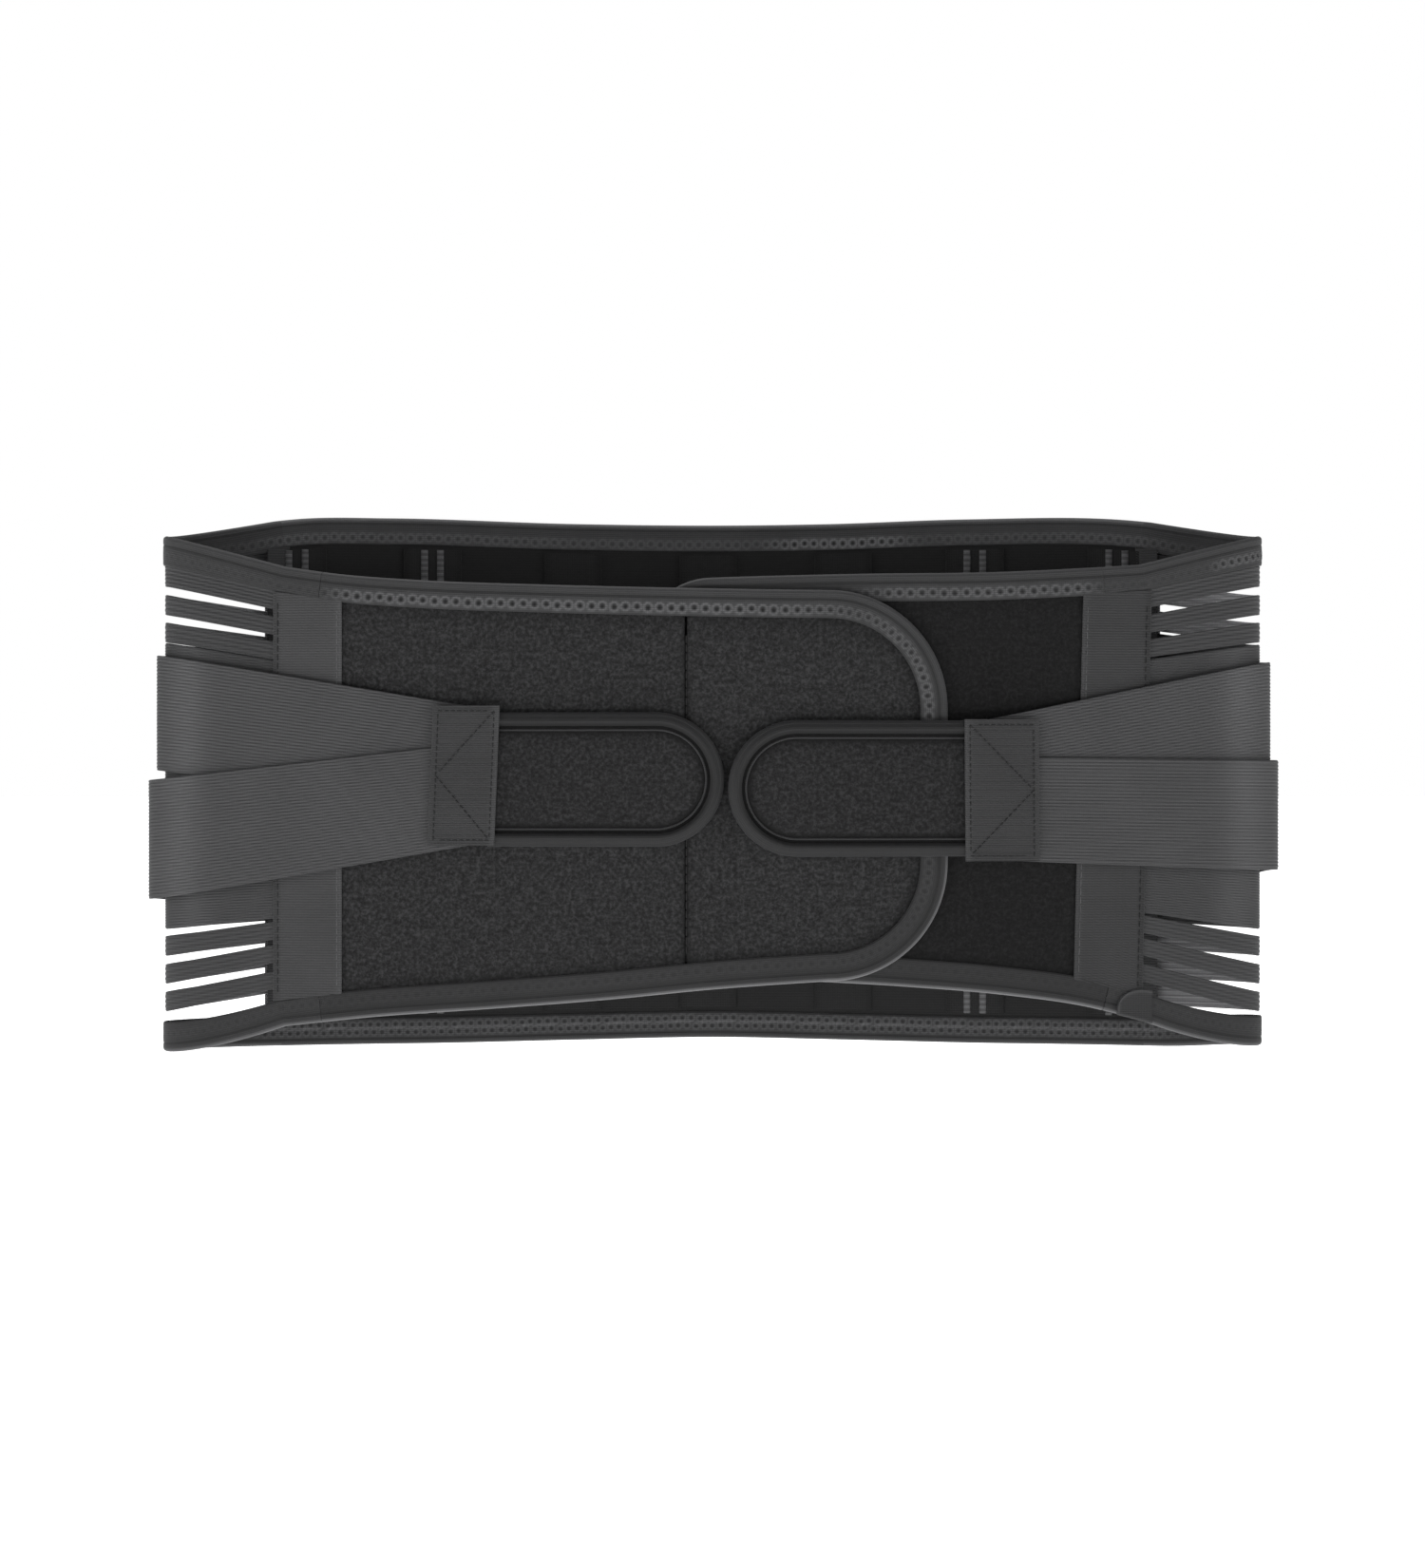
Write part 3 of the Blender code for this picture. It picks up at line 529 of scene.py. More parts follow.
def ribbon(name, look, s, z_low, z_high, middle, thickness, rib_pitch, rib_depth, step=0.00032,
           edge=0.0006, tone_contrast=0.12, inner_tone=1.0, sheen=0.0):
    """Elastic or webbing along the wall, ribbed lengthwise, with rounded edges.

    sheen is the strength of a painted highlight about 13 mm in from the fold, with painted shade
    at the fold's very edge."""
    width = float(np.max(z_high - z_low))
    share = cross_samples(width, step, edge)[None, :]
    s, z_low, z_high, middle = (np.asarray(a, float)[:, None] for a in
                                np.broadcast_arrays(s, z_low, z_high, middle))
    from_fold = HALF_WIDTH - np.abs(loop_xy(s)[0])
    # painted highlight near the fold and painted shade at its very edge, put into the tone
    stretched = 1.0 + sheen * (np.exp(-((from_fold - 0.013) / 0.008) ** 2)
                               - 0.6 * np.exp(-(from_fold / 0.004) ** 2))
    z = z_low + (z_high - z_low) * share
    from_edge = np.minimum(share, 1.0 - share) * width
    body = round_edge(from_edge, edge)
    ribs = np.cos(2.0 * math.pi * share * width / rib_pitch)
    relief = 0.5 * thickness * body + rib_depth * (ribs - 1.0) * 0.5 * body
    # ribs lighter on their crests and darker between them: painted shade in the grooves
    tone = stretched * (1.0 + tone_contrast * ribs * ease(from_edge, 0.0, edge))
    piece = slab(name, look, s, z, middle + relief, middle - relief, tone, inner_tone)
    length = np.hypot(np.diff(s[:, 0]), np.diff((z_low + z_high)[:, 0] / 2)).sum()
    CUT_SIZES[name] = (width, length, CUT_SIZES[name][2], "stretched")
    return piece


def side_run(side, back_x, front_x, count, part="all"):
    """Places from the back round the fold to the front: s on this side, and k from -1 to 1."""
    limits = {"all": (-1.0, 1.0), "rear": (-1.0, 0.0), "fore": (0.0, 1.0)}[part]
    k = np.linspace(*limits, count)
    s = np.where(k > 0.0, FOLD_S + k * (front(front_x) - FOLD_S),
                 FOLD_S + k * (FOLD_S - back(back_x)))
    return (s if side == "right" else GIRTH - s), k


def toward_end(s, k, back_x, front_x):
    """0 at the fold and 1 at the piece's back or front end, even along X."""
    x = np.abs(loop_xy(s)[0])
    return (HALF_WIDTH - x) / (HALF_WIDTH - np.where(k < 0.0, back_x, front_x))


def side_height(side, s, k, at_fold, lift=0.0, power=1.0, mirrored=False):
    """Height of a line of the elastic side, which keeps its share of the belt's height.

    A mirrored line does behind the fold what it does in front."""
    if mirrored:
        way = np.clip(toward_end(s, k, SIDE_BACK_X, SIDE_REACH_X), 0.0, 1.0)
        height = side_height(side, s, np.abs(k), at_fold, lift, power)
        return height * np.where(k < 0.0, 1.0 + REAR_SPREAD * way, 1.0)
    sign, x = SIDES[side], np.abs(loop_xy(s)[0])
    bottom, top = (OUTER_BOTTOM, OUTER_TOP) if sign < 0 else (INNER_BOTTOM, INNER_TOP)
    behind, before = np.minimum(x, SIDE_BACK_X), np.minimum(x, SIDE_REACH_X)
    low_end = np.where(k < 0.0, curve_through(sign * behind, BACK_BOTTOM),
                       curve_through(sign * before, bottom) + lift)
    high_end = np.where(k < 0.0, curve_through(sign * behind, BACK_TOP),
                        curve_through(sign * before, top) + lift)
    share = (at_fold - FOLD_BOTTOM) / (FOLD_TOP - FOLD_BOTTOM)
    at_end = low_end + share * (high_end - low_end)
    way = np.clip(toward_end(s, k, SIDE_BACK_X, SIDE_REACH_X), 0.0, 1.0)
    return at_fold + (at_end - at_fold) * np.where(k > 0.0, way ** power, way)


def fold_blend(obj, side, body_a, body_b, rear=True):
    """Bakes a piece's transform into its mesh."""
    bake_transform(obj)


# ---------------------------------------------------------------- stitches
def stitch_line(s, z, offset, length=0.0026, gap=0.0009):
    """Dashes of one lockstitch line along a path on the wall, each arched out of the cloth."""
    along = run_length(s, z)
    count = max(int(along[-1] / (length + gap)), 1)
    paths = []
    for i in range(count):
        at = i * (length + gap) + np.linspace(0.0, length, DASH_POINTS)
        if at[-1] > along[-1]:
            break
        rise = -DASH_SINK + DASH_ARCH * np.sin(np.linspace(0.0, math.pi, DASH_POINTS))
        paths.append((np.interp(at, along, s), np.interp(at, along, z),
                      np.interp(at, along, np.broadcast_to(offset, along.shape)) + rise))
    return paths


def upright_stitches(s, z_low, z_high, offset, *lengths):
    """Lockstitches straight up the wall at s."""
    z = np.linspace(z_low, z_high, LINE_POINTS)
    return stitch_line(np.full(LINE_POINTS, float(s)), z, offset, *lengths)


# ---------------------------------------------------------------- folded binding
def eyelets(run, depth, centre, pitch, phase, strength):
    """Relief and tone of a row of crocheted rings, each round a dark open eyelet."""
    turn = run / pitch + phase
    ring = np.floor(turn).astype(int)
    jitter = RING_JITTER[ring % len(RING_JITTER)]
    along = (turn - ring - 0.5) * pitch
    across = depth - centre + 0.00025 * jitter
    along = along + 0.00018 * np.sin(5.0 * jitter)
    r = np.hypot(along, across * (1.0 + 0.08 * jitter))
    # the eyelet holes are not cut but painted dark, for the felt seen through them and painted
    # shade in the hole
    hole = np.exp(-(r / (0.20 * pitch)) ** 4)
    rim = np.exp(-((r - 0.38 * pitch) / (0.13 * pitch)) ** 2)
    strands = 1.0 + 0.25 * np.cos(9.0 * np.arctan2(across, along) + 3.0 * jitter)
    cover = np.exp(-(across / (0.66 * pitch)) ** 8)
    relief = strength * (0.00038 * rim * strands - 0.00045 * hole)
    tone = 1.0 + strength * (2.0 * rim * strands + 0.8 * cover)
    return relief, tone * (1.0 - np.clip(0.88 * strength, 0.0, 0.88) * hole)


def edge_path(s, z, upper):
    """Directions into the cloth, square to an upper or a lower edge through (s, z)."""
    ds, dz = np.gradient(s), np.gradient(z)
    size = np.hypot(ds, dz) * np.where(ds > 0.0, 1.0, -1.0) * (1.0 if upper else -1.0)
    return np.stack([dz / size, -ds / size])


def resampled(values, at, along):
    return np.interp(at, along, np.broadcast_to(values, along.shape))


def binding(name, look, s, z, inward, middle, half_depth, width, rows=(), roll=0.0016,
            groove_at=0.0037, crown=0.0, rim_tone=WHOLE_RIM_TONE, outer_tone=1.0,
            inner_tone=1.0):
    """Tape folded over an edge through (s, z), with inward directions there.

    rows holds (face, depth, pitch, phase, strength) of each eyelet row; face is 1 outside and
    -1 inside, and strength may change along the edge."""
    along = run_length(s, z)
    run = np.linspace(0.0, along[-1], int(along[-1] / BINDING_STEP) + 2)
    s, z, middle, half_depth, width = (resampled(a, run, along)[:, None]
                                       for a in (s, z, middle, half_depth, width))
    inward_s, inward_z = (resampled(a, run, along)[:, None] for a in inward)
    groove_place = resampled(groove_at, run, along)[:, None]
    run = run[:, None]
    outer, inner = half_depth + TAPE / 2, half_depth - TAPE / 2
    fine = np.linspace(1.0, 0.0, int(float(width.max()) / EYELET_STEP))[None, :]
    rough = np.array([[1.0, 0.97, 0.85, 0.6, 0.35, 0.2, 0.08, 0.0]])
    faces = []
    for face in (1, -1):
        share = fine if any(row[0] == face for row in rows) else rough
        depth = roll + (width - roll) * share
        from_top = np.clip((depth - roll) / (width - roll), 0.0, 1.0)
        relief = crown * (1.0 - (2.0 * from_top - 1.0) ** 2)
        relief = relief - 0.00030 * (1.0 - ease(width - depth, 0.0, 0.0007))
        groove = np.exp(-((depth - groove_place) / 0.00045) ** 2)
        relief = relief - 0.00022 * groove
        # painted shade in the stitch groove and along the tape's inner edge, and a painted
        # highlight on the face just past the rolled edge
        tone = (1.0 - 0.50 * groove) * (1.0 + 0.45 * np.exp(-((depth - roll) / 0.0012) ** 2))
        tone = tone * (1.0 - 0.35 * (1.0 - ease(width - depth, 0.0, 0.0006)))
        for row_face, centre, pitch, phase, strength in rows:
            if row_face == face:
                strength = resampled(strength, run[:, 0], along)[:, None]
                row_relief, row_tone = eyelets(run, depth, centre, pitch, phase, strength)
                relief, tone = relief + row_relief, tone * row_tone
        along_tone = outer_tone if face > 0 else inner_tone
        tone = tone * resampled(along_tone, run[:, 0], along)[:, None]
        offset = middle + face * (outer + relief)
        faces.append((depth + 0.0 * s, offset, tone + 0.0 * s))
    # the rolled rim is lighter, most at its crest: a painted highlight
    theta = np.linspace(0.0, math.pi, 11)[None, 1:-1]
    rim = (roll * (1.0 - np.sin(theta)) + 0.0 * s, middle + outer * np.cos(theta),
           1.35 + (resampled(rim_tone, run[:, 0], along)[:, None] - 1.35) * np.sin(theta))
    # the tape's inner surface, against the cloth it binds, is painted dark: painted shade
    lining_depth = np.concatenate([width, width * 0 + 2 * TAPE, width * 0 + TAPE,
                                   width * 0 + 2 * TAPE, width], axis=1)
    side_share = np.array([[-1.0, -0.8, 0.0, 0.8, 1.0]])
    lining = (lining_depth, middle + inner * side_share, 0.4 + 0.0 * lining_depth)
    backward = [part[:, ::-1] for part in faces[1]]
    depth, offset, tone = (np.concatenate(parts, axis=1)
                           for parts in zip(faces[0], rim, backward, lining))
    rings = wall(s + inward_s * depth, z + inward_z * depth, offset)
    around = run_length(depth[0], offset[0])
    uv = np.stack(np.broadcast_arrays(run, around[None, :]), axis=-1)
    unfolded = 2.0 * (width + half_depth)
    CUT_SIZES[name] = (unfolded.max(), run[-1, 0], unfolded.mean() * run[-1, 0], "folded")
    return sweep(name, look, rings, uv, tone)


def dense(columns_x, low_z, high_z):
    """Rim of a round-ended panel, from its top edge round the tip to its bottom edge."""
    x = np.concatenate([columns_x, columns_x[::-1]])
    z = np.concatenate([high_z, low_z[::-1]])
    s = front(x)
    along = run_length(s, z)
    keep = np.concatenate([[True], np.diff(along) > 1e-7])
    at = np.linspace(0.0, along[-1], int(along[-1] / RIM_STEP))
    s, z = np.interp(at, along[keep], s[keep]), np.interp(at, along[keep], z[keep])
    ds, dz = np.gradient(s), np.gradient(z)
    size = np.hypot(ds, dz)
    inward = np.stack([-dz / size, ds / size])
    towards = np.array([s.mean() - s[len(s) // 4], z.mean() - z[len(z) // 4]])
    if inward[:, len(s) // 4] @ towards < 0.0:
        inward = -inward
    return s, z, inward


# ---------------------------------------------------------------- panels
def panel_outline(start_x, tip_x, radius, top, bottom):
    """Columns of a round-ended panel: X, lower and upper height."""
    sign = 1.0 if tip_x > start_x else -1.0
    centre = tip_x - sign * radius
    x = np.linspace(start_x, centre, int(abs(centre - start_x) / RIM_STEP))
    low_z, high_z = curve_through(x, bottom) + EDGE_INSET, curve_through(x, top) - EDGE_INSET
    angle = np.linspace(0.0, math.pi / 2, 34)[1:]
    reach = radius - EDGE_INSET
    x_end = centre + sign * reach * np.sin(angle)
    drop = radius - reach * np.cos(angle)
    return (np.concatenate([x, x_end]),
            np.concatenate([low_z, curve_through(centre, bottom) + drop]),
            np.concatenate([high_z, curve_through(centre, top) - drop]))


def rim_distance(s, z, rim_s, rim_z):
    """Distance along the wall from each place to the nearest point of a rim."""
    nearest = np.full(s.shape, 1.0)
    for at_s, at_z in zip(rim_s[::2], rim_z[::2]):
        nearest = np.minimum(nearest, np.hypot(s - at_s, z - at_z))
    return nearest


def felt_panel(name, look, x, low_z, high_z, shift, thickness, seed, pinch=0.010, step=0.0010,
               pinch_depth=0.35, seam_x=None, rim=None, hem=0.0, puff=0.0, hem_shade=0.62):
    """Felt laminate: lumpy nap, thinner at its sewn rims and along an upright seam."""
    share = np.linspace(0.0, 1.0, int((high_z - low_z).max() / step))[None, :]
    x, low_z, high_z = x[:, None], low_z[:, None], high_z[:, None]
    z = low_z + (high_z - low_z) * share
    s = front(x) + 0.0 * z
    from_side = np.minimum(z - low_z, high_z - z)
    from_edge = from_side if rim is None else rim_distance(s, z, *rim)
    squeeze = 1.0 - pinch_depth * (1.0 - ease(from_edge, hem, hem + pinch))
    # painted shade in the crease along the sewn rim, down to hem_shade by the rim; darker also
    # along the seam
    shade = hem_shade + (1.0 - hem_shade) * ease(from_edge, hem, hem + 0.8 * pinch)
    if seam_x is not None:
        seam = np.exp(-((x - seam_x) / 0.0016) ** 2)
        squeeze = squeeze * (1.0 - 0.45 * seam)
        shade = shade * (1.0 - 0.55 * seam)
    nap = 0.00009 * lumps(z.shape, 2, seed) + 0.00014 * lumps(z.shape, 12, seed + 1)
    bow = 0.00030 * lumps(z.shape, 55, seed + 2)
    edge = np.maximum(round_edge(np.minimum(from_side, 0.002), 0.0012), 0.15)
    middle = shift(x) + bow * ease(from_edge, 0.0, 0.02)
    swell = puff * ease(from_edge, hem, hem + 0.010)
    outer = middle + (0.5 * thickness * squeeze + nap + swell) * edge
    inner = middle - 0.5 * thickness * squeeze * edge
    tone = shade * (1.0 + 0.10 * lumps(z.shape, 40, seed + 3))
    return slab(name, look, s, z, outer, inner, tone)


def outer_shift(x):
    return OVERLAP_SHIFT * ease(x, -0.150, -0.045)


def inner_shift(x):
    return -OVERLAP_SHIFT * (1.0 - ease(x, 0.105, 0.150))


def still(value):
    return lambda x: value + 0.0 * np.asarray(x, float)


def grosgrain_tape(name, look, x, z_low, z_high, lean, shift, place, rib_pitch=0.00105,
                   rib_depth=0.00022, selvedge_and_shadow_lines=(0.0, 0.0), tone=1.0, inner_tone=1.0):
    """Upright tape with ribs across it; its lower end leans by lean metres.

    The two long edges are lightened or darkened, in the order of x: lighter as a selvedge, darker
    as a painted shadow line along the edge."""
    width = abs(x[1] - x[0])
    share_x = cross_samples(float(width), 0.003, 0.0006)[:, None]
    columns = x[0] + (x[1] - x[0]) * share_x
    bottom, top = z_low(columns), z_high(columns)
    rows = np.linspace(0.0, 1.0, int((top - bottom).max() / RIB_STEP))[None, :]
    z = bottom + (top - bottom) * rows
    from_side = np.minimum(share_x, 1.0 - share_x) * width
    body = round_edge(from_side, 0.0006)
    ribs = np.cos(2.0 * math.pi * z / rib_pitch)
    relief = 0.5 * TAPE * body + 0.5 * rib_depth * (ribs - 1.0) * body
    near, far = (np.exp(-((share * width - 0.0009) / 0.0006) ** 2)
                 for share in (share_x, 1.0 - share_x))
    middle = shift(columns) + 0.00010 * lumps(z.shape, 30, 7)
    # ribs lighter on their crests and darker between them, painted shade in the grooves; edges
    # lighter at a selvedge, darker as a painted shadow line
    tone = tone * (1.0 + 0.15 * ribs + selvedge_and_shadow_lines[0] * near + selvedge_and_shadow_lines[1] * far)
    tone = tone * (1.0 + 0.10 * lumps(z.shape, 60, 8))
    return slab(name, look, place(columns - lean * (1.0 - rows)), z,
                middle + relief + 0.00016 * (near + far), middle - relief, tone, inner_tone)


# ---------------------------------------------------------------- back
def build_back():
    x = np.linspace(-BACK_END_X, BACK_END_X, 300)[:, None]
    share = np.linspace(0.0, 1.0, 190)[None, :]
    bottom, top = curve_through(x, BACK_BOTTOM), curve_through(x, BACK_TOP)
    low_z, high_z = bottom + EDGE_INSET, top - EDGE_INSET
    z = low_z + (high_z - low_z) * share
    from_edge = np.minimum(z - low_z, high_z - z)
    seams = sum(np.exp(-((np.abs(x - stay) - CHANNEL_WIDTH / 2) / 0.0012) ** 2)
                for stay in STAY_XS)
    ridge = sum(np.exp(-((x - stay) / 0.0065) ** 2) for stay in STAY_XS)
    nap = 0.00010 * lumps(z.shape, 2, 21) + 0.0002 * lumps(z.shape, 18, 22)
    swell = 0.00030 * ridge - 0.00055 * np.clip(seams, 0.0, 1.0)
    # painted shade along the top and bottom bindings; darker also along the channel seams
    tone = (0.75 + 0.25 * ease(from_edge, 0.001, 0.012)) * (1.0 - 0.35 * np.clip(seams, 0, 1))
    panel = slab("back_cloth", "felt", back(x) + 0.0 * z, z, BACK_OUTER_FACE + swell + nap,
                 BACK_OUT - PANEL / 2 + 0.0 * z, tone)
    put(panel, "back", "back_panel")
    lining = slab("back_lining_cloth", "lining", back(x) + 0.0 * z, z,
                  LINING_OFFSET + LINING / 2 + 0.0 * z,
                  LINING_INNER_FACE - 0.00018 * lumps(z.shape, 9, 31), 1.0)
    put(lining, "back", "back_lining")
    seam_xs = [stay + edge * CHANNEL_WIDTH / 2 for stay in STAY_XS for edge in (-1, 1)]
    sewn = [seam_x for seam_x in seam_xs if abs(seam_x) <= BACK_END_X - 0.003]
    for index, seam_x in enumerate(sewn):
        paths = upright_stitches(back(seam_x), -0.095, 0.100, BACK_OUTER_FACE - 0.00035)
        put(threads(f"channel_seam_{index}", "dark_thread", paths, 0.00022), "back")
    build_back_bindings()
    build_channels()
    for index in range(len(STAY_XS)):
        spiral = index in SPIRAL_STAYS
        node = frame["nodes"][f"{'spiral' if spiral else 'flat'}_stay_{index + 1}"]
        node.data.materials.clear()
        node.data.materials.append(STEEL if spiral else STAY_PLASTIC)


def put(obj, body, *nodes):
    """Rides a finished piece on a body, in place of CAD nodes."""
    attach(obj, body)
    if nodes:
        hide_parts(*nodes)
    return obj


def back_half_depth():
    return (BACK_OUTER_FACE - LINING_INNER_FACE) / 2 + GAP + TAPE / 2


def back_middle():
    return (BACK_OUTER_FACE + LINING_INNER_FACE) / 2


def build_back_bindings():
    x = np.linspace(-BACK_END_X, BACK_END_X, 420)
    s = back(x)
    here = np.interp(x, (-0.16, 0.02, 0.035, 0.075, 0.09, 0.16), (0.35, 0.25, 0.8, 0.8, 0.2, 0.3))
    rows = {"top": ((-1, 0.0086, 0.0042, 0.0, here), (1, 0.0080, EYELET_PITCH, 0.0, 0.4)),
            "bottom": ((-1, 0.0088, 0.0037, 0.0, 0.55), (-1, 0.0055, 0.0037, 0.5, 0.55),
                       (1, 0.0080, EYELET_PITCH, 0.0, 0.4))}
    for name, edge in (("top", BACK_TOP), ("bottom", BACK_BOTTOM)):
        z = curve_through(x, edge)
        look = "dark_binding" if name == "top" else "binding"
        put(binding(f"back_{name}_tape", look, s, z, edge_path(s, z, name == "top"),
                    back_middle(), back_half_depth(), BINDING_WIDTH, rows[name],
                    groove_at=0.0027), "back", f"back_{name}_binding")


def build_channels():
    """Tapes over the stays, with raised ribs over the spiral ones and none over the rest."""
    margin = BINDING_WIDTH + 0.0016
    offset = LINING_INNER_FACE - GAP - TAPE / 2
    for index, x in enumerate(STAY_XS):
        half = CHANNEL_WIDTH / 2
        reach = min(abs(x) + half, BACK_END_X - 0.0015) - abs(x)
        ends = (x - half, x + reach) if x > 0 else (x - reach, x + half)
        tape = grosgrain_tape(f"channel_tape_{index + 1}", "channel", ends,
                              beside(BACK_BOTTOM, margin), beside(BACK_TOP, -margin), 0.0,
                              still(offset), back, rib_depth=0.00012, selvedge_and_shadow_lines=(-0.7, -0.7))
        put(tape, "back", f"stay_channel_{index + 1}")
        if index not in SPIRAL_STAYS:
            continue
        for side in (-1, 1):
            at = x + side * RIB_SPACING / 2
            rib = raised_rib(f"channel_rib_{index + 1}_{'ab'[side > 0]}", at,
                             float(beside(BACK_BOTTOM, margin)(at)),
                             float(beside(BACK_TOP, -margin)(at)), offset - TAPE / 2)
            put(rib, "back")


def raised_rib(name, x, z_low, z_high, offset):
    """Half-round light rib on the inner face of a perforated tape."""
    width, height, bead = 0.0030, 0.0009, 0.0024
    z = np.arange(z_low, z_high, 0.0006)[:, None]
    turn = np.linspace(0.0, math.pi, 9)[None, :]
    s = float(back(x)) + width / 2 * np.cos(turn) + 0.0 * z
    beads = np.cos(2.0 * math.pi * z / bead)
    rings = wall(s, z + 0.0 * turn, offset - height * np.sin(turn) * (1.0 + 0.10 * beads))
    uv = np.stack(np.broadcast_arrays(z, width * turn), axis=-1)
    # beads lighter on their crests and darker between: painted shade between the beads
    tone = 1.0 + 0.4 * beads + 0.0 * turn
    return sweep(name, "channel_rib", rings, uv, tone, 70.0)


# ---------------------------------------------------------------- sides
def build_side(side):
    bodies = ("back", f"{side}_front")
    for name, fold_low, fold_high, lift in SIDE_PIECES:
        if name.endswith("band"):
            build_band(side, name, fold_low, fold_high)
            continue
        node = f"{side}_{name}"
        mirrored = node in REAR_LIKE_FRONT
        s, k = side_run(side, SIDE_BACK_X + 0.0010, SIDE_FRONT_X - 0.0010, 120)
        z_low = side_height(side, s, k, fold_low, lift, 1.0, mirrored)
        z_high = side_height(side, s, k, fold_high, lift, 1.0, mirrored)
        if name == "wide_elastic" and side == "left":
            z_high = z_high + 0.0007            # it almost meets the strip over it
        if name == "fishbone_1":                # it is sewn under the top band's edge
            z_high = z_high + (np.where(k < 0.0, 0.0040, 0.0016) if side == "left" else 0.0006)
        wide = name == "wide_elastic"
        light = 9.0 if name in ("fishbone_2", "fishbone_3") else 5.0
        pitch, depth = (0.00118, 0.00022) if wide else (0.0021, 0.00022)
        # sheen: strength of the painted highlight near the fold
        body = ribbon(f"{node}_webbing", "elastic", s, z_low, z_high, 0.0, ELASTIC, pitch,
                      depth, step=0.00030, edge=0.0007, tone_contrast=0.12,
                      inner_tone=1.0 if wide or name == "fishbone_1" else light,
                      sheen=0.45 if wide else 0.0)
        fold_blend(body, side, *bodies)
        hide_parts(node)
    build_anchor(side)


def build_band(side, name, fold_low, fold_high):
    """Binding tape that goes on round the side, folded over its outer edge."""
    node = f"{side}_{name}"
    top = name == "top_band"
    s, k = side_run(side, BACK_END_X, FRONT_END_X, 240)
    power = 1.0 if top else BAND_RISE
    rise = RIGHT_BAND_RISE if side == "right" and not top else 0.0
    rise = rise * (1.0 - ease(np.abs(k), 0.0, 0.9))
    z_low = side_height(side, s, k, fold_low, power=power) + rise
    z_high = side_height(side, s, k, fold_high, power=power) + rise
    blend_in = ease(np.abs(k), 0.80, 1.0)
    width = (z_high - z_low) * (1.0 - blend_in) + BINDING_WIDTH * blend_in
    front_half_depth = PANEL / 2 + GAP + TAPE / 2
    half_depth = 0.0012 + (np.where(k < 0.0, back_half_depth(), front_half_depth)
                           - 0.0012) * ease(np.abs(k), 0.55, 1.0)
    middle = np.where(k < 0.0, back_middle() * ease(-k, 0.7, 1.0), 0.0)
    if side == "right":
        middle = middle + np.where(k > 0.0, inner_shift(FRONT_END_X) * ease(k, 0.7, 1.0), 0.0)
    edge = z_high if top else z_low
    strength = np.interp(k, (0.0, 0.05, 0.35, 0.45), (0.15, 0.7, 0.7, 0.12))
    if not (top and side == "right"):
        strength = 0.12
    rear = np.interp(k, (-0.95, -0.4, 0.0), (0.35 if top else 0.55, 0.12, 0.12))
    rows = [(1, 0.0078, 0.0042, 0.0, strength)]
    if top:
        rows += [(-1, 0.0086, 0.0042, 0.0, rear)]
    else:
        rows += [(-1, 0.0088, 0.0037, 0.0, rear), (-1, 0.0055, 0.0037, 0.5, rear)]
    # a bottom band's rim carries a strong painted highlight, and its face is darker
    tape = binding(f"{node}_tape", "binding", s, edge, edge_path(s, edge, top), middle,
                   half_depth, width, rows, groove_at=np.where(k < 0.0, 0.0027, 0.0037),
                   rim_tone=WHOLE_RIM_TONE if top else 5.0, outer_tone=1.0 if top else 0.80,
                   inner_tone=np.interp(k, (-1.0, 0.0), (1.95 if top else 1.0, 1.0)))
    fold_blend(tape, side, "back", f"{side}_front")
    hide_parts(node)


def build_anchor(side):
    """Tape over the straps' ends outside, and the one over the seam inside."""
    sign = SIDES[side]
    offset = BACK_OUTER_FACE + 2 * GAP + WEBBING + TAPE / 2 + 0.0004
    x = tuple(sign * value for value in ANCHOR_X)
    margin = BINDING_WIDTH + 0.0035
    tape = grosgrain_tape(f"{side}_anchor_tape", "grosgrain", x, beside(BACK_BOTTOM, margin),
                          beside(BACK_TOP, -margin), 0.0, still(offset), back, inner_tone=7.0)
    put(tape, "back", f"{side}_strap_anchor")
    paths = []
    for place in (ANCHOR_X[0] + 0.0022, ANCHOR_X[1] - 0.0022):
        paths += upright_stitches(back(sign * place), -0.092, 0.098, offset + TAPE / 2)
    put(threads(f"{side}_anchor_stitch", "dark_thread", paths, 0.00024), "back")
    x = (sign * (BACK_END_X - 0.0035), sign * (BACK_END_X + 0.0058))
    margin = BINDING_WIDTH + 0.0002
    over_seam = grosgrain_tape(f"{side}_seam_tape", "grosgrain", x, beside(BACK_BOTTOM, margin),
                               beside(BACK_TOP, -margin), 0.0,
                               still(LINING_INNER_FACE - GAP - TAPE / 2), back)
    put(over_seam, "back")


# ---------------------------------------------------------------- fronts
def edge_of(columns):
    """Outer edge of a panel whose felt stops an inset short of it."""
    s, z, inward = dense(*columns)
    return s - inward[0] * EDGE_INSET, z - inward[1] * EDGE_INSET, inward


